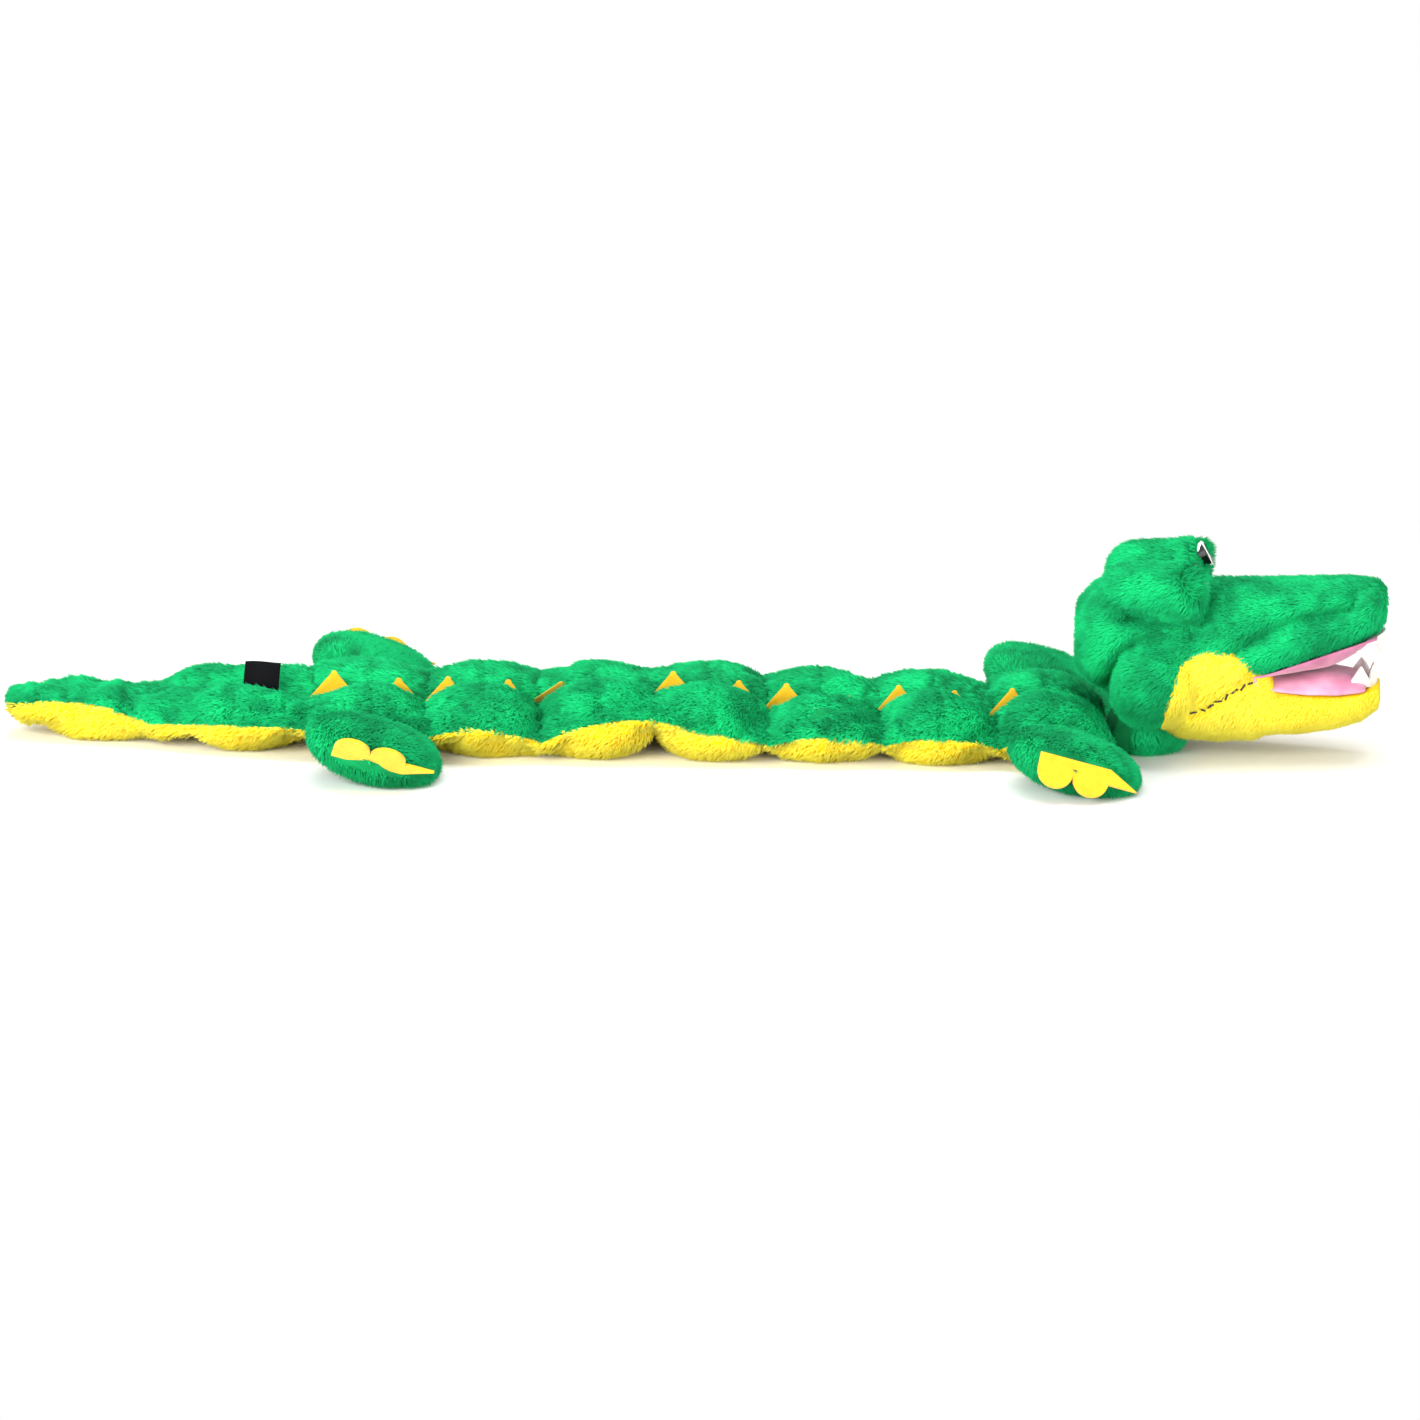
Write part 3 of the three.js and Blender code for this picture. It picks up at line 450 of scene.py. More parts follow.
    # Cloth and tufts together, kept above the floor and shaded mostly as the cloth is
    joined = add(tree, "GeometryNodeJoinGeometry")
    for part in (real, cloth):
        tree.links.new(part, joined.inputs[0])
    place = separate(tree, put(tree, "GeometryNodeInputPosition"))
    lifted = combined(place["X"], place["Y"], maths(tree, "MAXIMUM", place["Z"], given["Floor"]))
    rested = put(tree, "GeometryNodeSetPosition", {
        "Geometry": joined.outputs[0], "Position": lifted})
    soft = total(scaled(put(tree, "GeometryNodeInputNormal"), 1 - NAP_SHARE),
                 scaled(stored("nap"), NAP_SHARE))
    shaded = put(tree, "GeometryNodeSetMeshNormal", {"Mesh": rested, "Custom Normal": soft},
                 mode="FREE", domain="POINT")
    add(tree, "NodeGroupOutput", {0: shaded})
    return tree


def stitch_tree():
    """A tree that lays short threads along a path, each a little off it."""
    tree, given = new_tree("stitches", ("Spacing", "Length", "Width"))
    path = put(tree, "GeometryNodeMeshToCurve", {"Mesh": given["Geometry"]})
    points = add(tree, "GeometryNodeCurveToPoints", {
        "Curve": path, "Length": given["Spacing"]}, mode="LENGTH").outputs
    thread = put(tree, "GeometryNodeMeshCylinder", {
        "Vertices": 8, "Radius": maths(tree, "MULTIPLY", given["Width"], 0.5),
        "Depth": given["Length"]}, "Mesh", fill_type="TRIANGLE_FAN")
    stray = put(tree, "FunctionNodeRandomValue", {
        0: (-0.5, -0.5, -0.5), 1: (0.5, 0.5, 0.5), "Seed": given["Seed"]},
        data_type="FLOAT_VECTOR")
    way = put(tree, "ShaderNodeVectorMath", {0: points["Tangent"], 1: stray}, operation="ADD")
    turned_to = put(tree, "FunctionNodeAlignRotationToVector", {"Vector": way}, axis="Z")
    laid = put(tree, "GeometryNodeInstanceOnPoints", {
        "Points": points["Points"], "Instance": thread, "Rotation": turned_to})
    real = put(tree, "GeometryNodeRealizeInstances", {"Geometry": laid})
    real = put(tree, "GeometryNodeSetMaterial", {"Geometry": real, "Material": given["Material"]})
    add(tree, "NodeGroupOutput", {0: real})
    return tree


PILE = pile_tree()
STITCHES = stitch_tree()


def run_tree(piece, tree, values):
    """Turns a piece into what a tree makes of it, as a plain mesh."""
    modifier = piece.modifiers.new(tree.name, "NODES")
    modifier.node_group = tree
    for socket in tree.interface.items_tree:
        if socket.in_out == "INPUT" and socket.name in values:
            modifier[socket.identifier] = values[socket.name]
    bpy.context.view_layer.update()
    evaluated = piece.evaluated_get(bpy.context.evaluated_depsgraph_get())
    made = bpy.data.meshes.new_from_object(evaluated)
    piece.modifiers.remove(modifier)
    piece.data = made
    made.name = piece.name
    return piece


def grow_pile(piece, seed, density=PILE_DENSITY):
    """Turns a cloth into the same cloth with its pile."""
    return run_tree(piece, PILE, {
        "Length": PILE_LENGTH * MM, "Width": PILE_WIDTH * MM, "Lean": PILE_LEAN,
        "Density": density / MM**2, "Cloth share": CLOTH_SHARE, "Floor": FLOOR_CLEARANCE * MM,
        "Seed": seed, "Material": piece.data.materials[0]})


def sew(name, path, spacing, length, width, seed):
    """A row of stitches along a path."""
    piece = new_piece(name, path, [(k, k + 1) for k in range(len(path) - 1)], [])
    return run_tree(piece, STITCHES, {
        "Spacing": spacing * MM, "Length": length * MM, "Width": width * MM, "Seed": seed,
        "Material": BLACK_THREAD})


def settle(piece, bodies, nodes=(), bend=None):
    """Attaches a piece to its one body, or bakes its place into its mesh where it lies between two,
    and hides the nodes that it stands for."""
    if len(bodies) > 1:
        start, end = (tuple(np.array(place) * MM) for place in bend)
        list(bodies)
        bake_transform(piece)
        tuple(start)
        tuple(end)
    else:
        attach(piece, bodies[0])
    if nodes:
        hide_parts(*nodes)


class Cloth:
    """Grids of points in millimetres with their bake map, comb and height of pile."""

    def __init__(self):
        self.points, self.comb, self.pile = [], [], []
        self.faces, self.map = [], []
        self.count = 0

    def add_points(self, points, comb=(0, 0, 0), pile=0.0):
        """Adds points and returns the first one's number."""
        flat = np.asarray(points, float).reshape(-1, 3)
        n = len(flat)
        self.points.append(flat)
        self.comb.append(np.broadcast_to(np.asarray(comb, float).reshape(-1, 3), (n, 3)))
        self.pile.append(np.broadcast_to(np.asarray(pile, float).reshape(-1), (n)))
        self.count += n
        return self.count - n

    def add_grid(self, points, comb=(0, 0, 0), pile=0.0, closed=False, span=(0, 1)):
        """A sheet of quads with its strip of the map. Returns its points' numbers."""
        rows, columns = points.shape[:2]
        first = self.add_points(points, comb, pile)
        last = columns if closed else columns - 1
        low, high = span
        for i in range(rows - 1):
            v0, v1 = (CLOTH_SHARE * (low + (high - low) * k / (rows - 1)) for k in (i, i + 1))
            for j in range(last):
                a, b = first + i * columns + j, first + i * columns + (j + 1) % columns
                u0, u1 = j / last, (j + 1) / last
                self.faces.append((a, b, b + columns, a + columns))
                self.map.extend(((u0, v0), (u1, v0), (u1, v1), (u0, v1)))
        return first + np.arange(rows * columns).reshape(rows, columns)

    def add_wall(self, a, b):
        """Quads between two runs of points that are already there."""
        for k in range(len(a) - 1):
            self.faces.append((a[k], a[k + 1], b[k + 1], b[k]))
            self.map.extend(((0, 0), (0.01, 0), (0.01, 0.002), (0, 0.002)))

    def add_fan(self, ring, tip, comb=(0, 0, 0), pile=0.0):
        """Triangles from a ring of points to one tip."""
        top = self.add_points(tip, comb, pile)
        n = len(ring)
        for k in range(n):
            self.faces.append((ring[k], ring[(k + 1) % n], top))
            self.map.extend(((k / n, 0.0), ((k + 1) / n, 0.0), ((k + 0.5) / n, 0.003)))

    def add_shell(self, outer, inner, comb=(0, 0, 0), pile=0.0, spans=((0, 2.4), (2.5, 5))):
        """Two sheets, the outer one with its comb and pile, closed by walls all round."""
        a = self.add_grid(outer, comb, pile, span=spans[0])
        b = self.add_grid(inner, span=spans[1])
        for edge in (np.s_[:, 0], np.s_[:, -1], np.s_[0, :], np.s_[-1, :]):
            self.add_wall(a[edge], b[edge])

    def piece(self, name, look):
        made = new_piece(name, np.concatenate(self.points), [], self.faces)
        mesh = made.data
        layer = mesh.uv_layers.new(name="OFBake")
        layer.data.foreach_set("uv", np.array(self.map, "f").ravel())
        comb = np.concatenate(self.comb)
        comb = comb / np.maximum(np.linalg.norm(comb, axis=1, keepdims=True), 1e-6)
        for label, kind, field, values in (
            ("comb", "FLOAT_VECTOR", "vector", comb),
            ("pile", "FLOAT", "value", np.concatenate(self.pile)),
        ):
            layer = mesh.attributes.new(label, kind, "POINT")
            layer.data.foreach_set(field, values.astype("f").ravel())
        shell = bmesh.new()
        shell.from_mesh(mesh)
        bmesh.ops.recalc_face_normals(shell, faces=shell.faces)
        if shell.calc_volume(signed=True) < 0:
            bmesh.ops.reverse_faces(shell, faces=shell.faces)
        shell.to_mesh(mesh)
        shell.free()
        mesh.materials.append(look)
        mesh.shade_smooth()
        return made


# Body and tail: pillows whose cloth is filled by simulation

POCKET_WIDTH = box_mm("row_4_back")[1][1]
WAIST_DEPTH = 4.0
HALF_WAIST = POCKET_WIDTH - WAIST_DEPTH
SEAM_EDGE = 0.6
INNER_EDGE = 0.15
VALLEY = 1.3
FULLNESS = 0.66
TAIL_END_TOP = 31.0
TAIL_END_RISE = 11.0
TAIL_END_HALF_WIDTH = 20.0
SQUEAKER_PROFILE = [(0, 12.8), (16.0, 12.8), (25.6, 4.6), (28.0, -30.0)]
SQUEAKER_LENGTH = 50.0
POCKET_STEPS = 22
COLUMN_STEPS = 18

# How the toy lies in the photograph, as pairs for its right and left pockets: the crowns of the
# rows, how far the side seam rises at mid row, and the slack of the cloth over each cross seam
ROW_CROWNS = [(43, 41), (42.5, 40), (45, 41), (44, 41), (39, 39), (41, 38), (42, 40)]
ROW_RISES = [(6, 6), (6, 6), (6, 6), (1, 4), (6, 6), (6, 6), (6, 6)]
SEAM_SLACKS = [(8, 13), (7, 15), (4, 19), (9, 9), (6, 15), (5, 14), (7, 14), (2, 2)]
BELLY_SLACKS = [5, 3, 9, 1.5, 1.5, 2.5, 3, 1.5]
SEAM_LIFTS = [(0, 0), (0, 0), (0, 0), (4, 0), (0, 0), (0, 0), (0, 0), (0, 0)]
TAIL_SLACK = (9, 10)
TAIL_BELLY_SLACK = 9
SLACK_REACH = 30.0
WOBBLE = 1.6  # heights of the larger and smaller unevenness of the cloth, and its drift
PUCKER = 1.4
DRIFT = 1.0
FOLD_ZONE = 14.0  # how far either side of a cross seam the given bend reaches
CLOTH_FRAMES = 20
CLOTH_REACH = 6.0  # the farthest that the simulation may move it
CLOTH_SETTINGS = dict(
    quality=6, mass=0.2, tension_stiffness=14, compression_stiffness=14, shear_stiffness=4,
    bending_stiffness=1.2, vertex_group_mass="pinned", use_pressure=True,
    uniform_pressure_force=3.0,
    shrink_min=-0.1,  # the cloth is this much larger than its form
)


def sided(pair, y):
    return np.where(y < 0, pair[0], pair[1])


def pillow_sheets(section, face, seed):
    """The outer and inner sheets and the comb of a pillow's back, for face 1, or belly, for -1."""
    (x0, z0), (x1, z1) = section["ends"]
    free, valley = section.get("free"), section["valley"]
    evenness = 1 if face > 0 else 0.5
    u = eased(POCKET_STEPS)[:, None]
    half = section["half_width"](u) - RIM_INSET
    steps = eased(COLUMN_STEPS)[None, :]
    y = np.concatenate([lerp(-half, -valley, steps), lerp(valley, half, steps)], axis=1)
    pocket = np.concatenate([2 * steps - 1] * 2, axis=1) + 0 * y
    t = pocket if section["columns"] == 2 else y / half
    s = 2 * u - 1 + 0 * y
    u = u + 0 * y
    x = lerp(x0, x1, u)
    along = np.where(s < 0, 1 - np.abs(s) ** 7, 1 - s**2) if free else 1 - s**2
    swell = np.clip(along * (1 - t**2), 0, 1) ** section["fullness"]
    out_there = np.abs(y) / half
    lift = lerp(sided(section["lifts"][0], y), sided(section["lifts"][1], y), u)
    rise = sided(section["rise"], y) * (1 - s**2)
    seam = lerp(z0, z1, u) + (lift + rise) * out_there**3
    slack = 0 * x
    for end, pair, below in zip((x0, x1), section["slack"], section["below"]):
        near = np.clip(1 - np.abs(x - end) / SLACK_REACH, 0, 1) ** 1.5
        slack = slack + near * (sided(pair, y) if face > 0 else below)
    slack = slack * np.clip(1 - pocket**2, 0, 1) ** 0.5
    if face > 0:
        crown = section["height"](u, y) - CLOTH_INSET
    else:
        crown = section["floor"](u) + BELLY_INSET
    z = lerp(seam + face * (SEAM_EDGE + slack), crown, swell)
    if free:
        x = np.maximum(x, x0 + RIM_INSET)
    outer = vectors(x, y, z)
    wobble = ripple(outer, 16, seed)
    pucker = ripple(outer * [1, 2.2, 1], 7, seed + 50) * (4 * swell * (1 - swell))
    outer[..., 2] += face * (WOBBLE * wobble * swell + PUCKER * pucker) * evenness
    outer[..., 0] += DRIFT * ripple(outer, 20, seed + 9) * swell * evenness
    inner = vectors(x, y, seam + face * INNER_EDGE)
    for cx, cy, cz, scale in section["squeakers"]:
        clear = table_at(SQUEAKER_PROFILE, np.hypot(x - cx, y - cy) / scale)[0]
        inner[..., 2] = (np.maximum if face > 0 else np.minimum)(
            inner[..., 2], cz + face * clear * scale)
    sag = -0.35 if face > 0 else 0.05
    return outer, inner, vectors(-0.45, 0.55 * np.sign(y) * out_there, sag)


def simulate(sheets, faces_up):
    """Blows sheets up as cloth that is cut larger than its seams, which gathers it there."""
    faces, pinned, first = [], [], 0
    for sheet in sheets:
        rows, columns = sheet.shape[:2]
        grid = first + np.arange(rows * columns).reshape(rows, columns)
        corners = [grid[:-1, :-1], grid[1:, :-1], grid[1:, 1:], grid[:-1, 1:]]
        quads = np.stack(corners if faces_up else corners[::-1], -1).reshape(-1, 4)
        faces += quads.tolist()
        held = np.zeros((rows, columns), bool)
        held[[0, -1]] = True
        held[:, [0, -1, COLUMN_STEPS, COLUMN_STEPS + 1]] = True
        pinned += grid[held].tolist()
        first += rows * columns
    points = np.concatenate([sheet.reshape(-1, 3) for sheet in sheets])
    made = new_piece("sheets", points, [], faces)
    made.vertex_groups.new(name="pinned").add(pinned, 1.0, "REPLACE")
    cloth = made.modifiers.new("cloth", "CLOTH")
    cloth.collision_settings.use_collision = False
    cloth.point_cache.frame_start, cloth.point_cache.frame_end = 1, CLOTH_FRAMES
    for key, value in CLOTH_SETTINGS.items():
        setattr(cloth.settings, key, value)
    cloth.settings.effector_weights.gravity = 0
    for step in range(1, CLOTH_FRAMES + 1):
        scene.frame_set(step)
    evaluated = made.evaluated_get(bpy.context.evaluated_depsgraph_get())
    moved = np.empty(len(points) * 3, "f")
    evaluated.data.vertices.foreach_get("co", moved)
    moved = moved.reshape(-1, 3) / MM - points
    scene.frame_set(1)
    bpy.data.objects.remove(made)
    far = np.linalg.norm(moved, axis=1, keepdims=True)
    points = points + moved * np.minimum(1, CLOTH_REACH / np.maximum(far, 1e-6))
    ends = np.cumsum([sheet.size // 3 for sheet in sheets])[:-1]
    return [part.reshape(sheet.shape) for part, sheet in zip(np.split(points, ends), sheets)]


def gathered(sections, face, seed):
    """Each section's sheets and comb on one face, with the outer sheet as simulated cloth."""
    panels = [pillow_sheets(section, face, seed + k) for k, (_, section) in enumerate(sections)]
    blown = simulate([outer for outer, _, _ in panels], face > 0)
    for outer in blown:
        outer[..., 2] = np.maximum(outer[..., 2], BELLY_INSET)
    return [(outer, inner, comb) for outer, (_, inner, comb) in zip(blown, panels)]


def plush_panel(name, look, outer, inner, comb):
    """A closed panel between an outer sheet with pile and an inner one without."""
    cloth = Cloth()
    cloth.add_shell(outer, inner, comb, 1.0, ((0.02, 0.8), (0.8, 1)))
    return cloth.piece(name, look)


def squeaker_places(prefix):
    """The middle and the scale of a section's two squeakers."""
    for side in ("right", "left"):
        low, high = box_mm(f"{prefix}_squeaker_{side}")
        yield *(low + high) / 2, (high[0] - low[0]) / SQUEAKER_LENGTH


def body_sections():
    """Each section's name and form, from the tail's tip to the neck."""
    tip_low, tip_high = box_mm("tail_tip_back")
    tail_width = tip_high[1]
    base_height = box_mm("tail_base_back")[1][2]

    def rounding(u):
        left = 1 - np.minimum(u / 0.16, 1)
        return np.sqrt(1 - left * left * 0.84)

    still = ((0, 0), (0, 0))
    yield "tail_tip", dict(
        ends=((tip_low[0], TAIL_END_TOP * 0.68), TAIL_SEAM), columns=1, valley=0.3,
        fullness=0.45, rise=(8, 8), lifts=still, free=True,
        slack=((0, 0), TAIL_SLACK), below=(0, TAIL_BELLY_SLACK),
        half_width=lambda u: lerp(TAIL_END_HALF_WIDTH, tail_width, u) * rounding(u),
        height=lambda u, y: lerp(TAIL_END_TOP, tip_high[2], np.minimum(2 * u, 1)),
        floor=lambda u: lerp(TAIL_END_RISE, 0, np.minimum(2 * u, 1)), squeakers=[])
    pockets = dict(columns=2, valley=VALLEY, fullness=FULLNESS, floor=lambda u: 0 * u)
    yield "tail_base", dict(
        pockets, ends=(TAIL_SEAM, ROW_SEAMS[0]), rise=(2, 2), lifts=still,
        slack=(TAIL_SLACK, SEAM_SLACKS[0]), below=(TAIL_BELLY_SLACK, BELLY_SLACKS[0]),
        half_width=lambda u: lerp(tail_width, HALF_WAIST, u) + 3 * np.sin(np.pi * u),
        height=lambda u, y: base_height + 0 * u, squeakers=list(squeaker_places("tail")))
    for i in range(ROWS):
        two = slice(i, i + 2)
        yield f"row_{i + 1}", dict(
            pockets, ends=ROW_SEAMS[two], rise=ROW_RISES[i], lifts=SEAM_LIFTS[two],
            slack=SEAM_SLACKS[two], below=BELLY_SLACKS[two],
            half_width=lambda u: HALF_WAIST + WAIST_DEPTH * np.sin(np.pi * u),
            height=lambda u, y, i=i: sided(ROW_CROWNS[i], y),
            squeakers=list(squeaker_places(f"row_{i + 1}")))


def dress_body():
    sections = list(body_sections())
    names = [name for name, _ in sections]
    for k, (name, panel) in enumerate(zip(names, gathered(sections, -1, 40))):
        piece = plush_panel(f"{name}_plush_belly", YELLOW_PLUSH, *panel)
        grow_pile(piece, 40 + k, UNDERSIDE_DENSITY)
        settle(piece, [name], [f"{name}_belly"])

    # The backs are cut at the middle of each pocket, so that each piece lies over one seam
    backs = gathered(sections, 1, 10)
    middle = POCKET_STEPS // 2
    for k, (_, section) in enumerate(sections):
        bodies = names[k : k + 2]
        parts = [[sheet[middle if k else 0 :] for sheet in backs[k]]]
        if len(bodies) > 1:
            parts.append([sheet[1 : middle + 1] for sheet in backs[k + 1]])
        panel = (np.concatenate(runs) for runs in zip(*parts))
        piece = plush_panel(f"plush_back_{k + 1}", GREEN_PLUSH, *panel)
        grow_pile(piece, 10 + k)
        x, z = section["ends"][1]
        settle(piece, bodies, [f"{body}_back" for body in bodies],
               bend=((x - FOLD_ZONE, 0, z), (x + FOLD_ZONE, 0, z)))


# Legs: stuffed paddles with a rim seam

LEG_SECTIONS = [
    # outward, half length, half thickness, forward shift
    (0, 0.6, 0.02, 0),
    (0.09, 0.78, 0.44, -0.01),
    (0.26, 0.93, 0.85, -0.02),
    (0.5, 1, 1, -0.04),
    (0.74, 0.93, 0.9, -0.05),
    (0.91, 0.68, 0.6, -0.06),
    (1.0, 0.0, 0.0, -0.07),
]
LEG_LENGTH = 82.0
LEG_THICKNESS = 41.0
LEG_TILT = 0.26
LEG_RINGS = 34
LEG_SIDES = 56
LEG_ROOT = 5.0  # how far a leg reaches into the body's side seam
LEG_EDGE = 0.4
CLAW_CLEARANCE = 4.5  # no pile as near to the claws as this


def dress_leg(end, side, word, seed):
    low, high = box_mm(f"leg_{end}_{word}")
    hip = JOINTS[f"flap_{end}_{word}"]
    reach = (high[1] - low[1]) - LEG_INSET
    outs = np.sin(np.linspace(0, np.pi / 2, LEG_RINGS + 1))[:-1]
    long, thick, shift = table_at(LEG_SECTIONS, outs)
    long = np.maximum(long * LEG_LENGTH / 2 - LEG_INSET, 1)
    thick = np.maximum(thick * LEG_THICKNESS / 2 - CLOTH_INSET, LEG_EDGE)
    angle = np.linspace(0, 2 * np.pi, LEG_SIDES, endpoint=False)
    y = lerp(-LEG_ROOT, reach, outs)
    rest = LEG_THICKNESS / 2 - 0.5
    dx = long[:, None] * np.sign(np.cos(angle)) * np.abs(np.cos(angle)) ** 0.9
    height = np.minimum(thick, LEG_EDGE + 1.2 * np.maximum(y, 0))[:, None] * np.sin(angle)
    tilt = -LEG_TILT * dx * np.minimum(4 * outs, 1)[:, None]
    z = lerp(hip[2], rest, outs)[:, None] + height + tilt
    x = hip[0] + (shift * LEG_LENGTH)[:, None] + dx
    points = vectors(x, hip[1] + side * y[:, None], z)
    points[..., 2] += 1.2 * ripple(points, 15, 3 + side) * np.minimum(outs * 3, 1)[:, None]
    points[..., 2] = np.maximum(points[..., 2], 1.2)
    claws = surface_of(frame["nodes"][f"claws_{end}_{word}"])
    away = [claws.find_nearest(Vector(p * MM))[3] / MM for p in points.reshape(-1, 3)]
    away = np.array(away).reshape(dx.shape) - CLAW_CLEARANCE
    pile = lerp(1.0, 1.35, np.clip(4 * outs - 2.6, 0, 1))[:, None]
    pile = np.where(away < 0, 0.0, pile * np.clip(0.4 + away / 6, 0, 1))
    cloth = Cloth()
    comb = (0.25, side * 0.9, -0.5)
    grid = cloth.add_grid(points, comb, pile, closed=True, span=(0.02, 1))
    cloth.add_fan(grid[0], points[0].mean(axis=0))
    toe = [hip[0] + LEG_SECTIONS[-1][3] * LEG_LENGTH, hip[1] + side * reach, rest]
    cloth.add_fan(grid[-1], toe, (0.2, side, -0.4), 1.0)
    piece = cloth.piece(f"leg_plush_{end}_{word}", GREEN_PLUSH)
    grow_pile(piece, seed)
    settle(piece, [f"paddle_{end}_{word}"], [f"leg_{end}_{word}"])


def dress_legs():
    for end, row in (("rear", 1), ("front", ROWS)):
        for word, side in (("right", -1), ("left", 1)):
            dress_leg(end, side, word, 70 + row + side)


# Head: one form of blended volumes, cut into a green crown and a yellow cheek and jaw. It is
# made straight and then turned as it lies

HEAD_BACK = JOINTS["neck_fold"][0] - 19
HEAD_LENGTH = 193.0
HEAD_HEIGHT = 128.0
HEAD_WIDTH = 114.0
HEAD_RINGS = 110
HEAD_SIDES = 132
SNOUT_TIP = HEAD_BACK + HEAD_LENGTH
MOUTH_DEPTH = 84
MOUTH = np.array([SNOUT_TIP - MOUTH_DEPTH, 54.0])
ROOF_SLOPE = (83 - 54) / MOUTH_DEPTH
FLOOR_SLOPE = (46 - 54) / MOUTH_DEPTH
MOUTH_BISECTOR = (math.atan(ROOF_SLOPE) + math.atan(FLOOR_SLOPE)) / 2
RECESS_RADIUS = 33  # the room for the chest in the head's underside
RECESS_TOP = 31
HEAD_SECTIONS = [
    # along, half width, bottom, top
    (0, 0.0, 0.6, 0.6),
    (0.016, 0.48, 0.4, 0.74),
    (0.062, 0.75, 0.33, 0.82),
    (0.12, 0.88, 0.28, 0.86),
    (0.18, 0.92, 0.23, 0.87),
    (0.25, 0.92, 0.2, 0.87),
    (0.35, 0.88, 0.09, 0.86),
    (0.477, 0.83, 0.075, 0.87),
    (0.55, 0.78, 0.1, 0.872),
    (0.62, 0.73, 0.16, 0.876),
    (0.69, 0.68, 0.3, 0.88),
    (0.79, 0.61, 0.42, 0.89),
    (0.89, 0.55, 0.53, 0.9),
    (0.96, 0.46, 0.62, 0.89),
    (0.99, 0.27, 0.7, 0.85),
    (1, 0.0, 0.77, 0.77),
]
JAW_SECTIONS = [
    (0.5, 0.7, 0.12, 0.45),
    (0.58, 0.75, 0.09, 0.45),
    (0.65, 0.72, 0.105, 0.46),
    (0.73, 0.66, 0.11, 0.47),
    (0.84, 0.6, 0.14, 0.48),
    (0.92, 0.52, 0.18, 0.48),
    (0.97, 0.38, 0.24, 0.46),
    (0.99, 0.0, 0.35, 0.35),
]
CHEEK_SEAM = [
    (0.285, -0.1), (0.292, 0.198), (0.32, 0.346), (0.352, 0.496), (0.395, 0.547), (0.448, 0.561),
    (0.512, 0.538), (0.566, 0.5), (0.6, 0.45), (0.62, 0.4), (0.62, -0.1),
]


def in_side_view(path):
    """A path that is written in shares of the head's length and height, in millimetres."""
    return [(HEAD_BACK + a * HEAD_LENGTH, b * HEAD_HEIGHT) for a, b in path]


# Where the head's seams and folds draw the plush in, as side view paths with their depth and width
CREASES = [(in_side_view(path), depth, width) for path, depth, width in (
    ([(0.17, 0.71), (0.25, 0.69), (0.32, 0.68), (0.4, 0.66)], 7.5, 4.5),
    ([(0.44, 0.86), (0.435, 0.76), (0.41, 0.67), (0.38, 0.63)], 8.0, 4.5),
    ([(0.49, 0.9), (0.5, 0.76)], 4.0, 4.5),
    ([(0.14, 0.21), (0.1, 0.3), (0.12, 0.4), (0.15, 0.53), (0.21, 0.6), (0.3, 0.63),
      (0.385, 0.66)], 7.5, 4.5),
    ([(0.52, 0.56), (0.56, 0.595), (0.69, 0.705), (0.88, 0.76)], 6.5, 4.0),
    ([(0.88, 0.76), (0.9, 0.84), (0.95, 0.87), (0.985, 0.83)], 4.5, 3.5),
)]
CHEEK_OUTLINE = in_side_view(CHEEK_SEAM + CHEEK_SEAM[:1])
CLOSING_SEAM = [(308, 33), (316, 36), (325, 42), (334, 48), (343, 53)]
THREAD_STAND = 1.6
RIM = [(0, 53), (0.1, 48.5), (0.25, 46.5), (0.42, 45), (0.64, 44.5), (0.8, 46), (0.9, 49), (1, 50)]


def turned_way(v):
    """Directions of the straight head, as it lies turned to its right."""
    x, y, z = axes(v)
    c, k = math.cos(HEAD_TURN), math.sin(HEAD_TURN)
    return vectors(x * c + y * k, y * c - x * k, z)


def turned(points):
    pivot = np.array([TURN_X, 0, 0])
    return pivot + turned_way(np.asarray(points, float) - pivot)


def smooth_min(a, b, k):
    h = np.clip(0.5 + 0.5 * (b - a) / k, 0, 1)
    return b * (1 - h) + a * h - k * h * (1 - h)


def smooth_max(a, b, k):
    return -smooth_min(-a, -b, k)


def ball_field(p, centre, radii):
    q = (p - np.array(centre)) / np.array(radii)
    return (np.linalg.norm(q, axis=-1) - 1) * min(radii)


def capsule_field(p, a, b, radius):
    a, b = np.array(a, float), np.array(b, float)
    h = np.clip(((p - a) @ (b - a)) / ((b - a) @ (b - a)), 0, 1)
    return np.linalg.norm(p - a - h[..., None] * (b - a), axis=-1) - radius


def loft_field(p, sections, squareness):
    x, y, z = axes(p)
    wide, low, top = table_at(sections, (x - HEAD_BACK) / HEAD_LENGTH)
    wide = np.maximum(wide * HEAD_WIDTH / 2, 0.05)
    low, top = low * HEAD_HEIGHT, top * HEAD_HEIGHT
    high = np.maximum((top - low) / 2, 0.05)
    n = 2 / squareness
    reach = (np.abs(y) / wide) ** n + (np.abs(z - (top + low) / 2) / high) ** n
    return (reach ** (1 / n) - 1) * np.minimum(wide, high)


def near_path(p, path):
    """Distance from a path in the side view."""
    x, _, z = axes(p)
    nearest = np.full(x.shape, 1e9)
    for (ax, az), (bx, bz) in zip(path, path[1:]):
        dx, dz = bx - ax, bz - az
        h = np.clip(((x - ax) * dx + (z - az) * dz) / (dx * dx + dz * dz), 0, 1)
        nearest = np.minimum(nearest, np.hypot(x - ax - h * dx, z - az - h * dz))
    return nearest


def crease_depth(p):
    deep = 0 * p[..., 0]
    for path, depth, width in CREASES:
        deep = np.maximum(deep, depth * falloff(near_path(p, path), width))
    return deep * np.clip((np.abs(p[..., 1]) - 8) / 10, 0, 1)


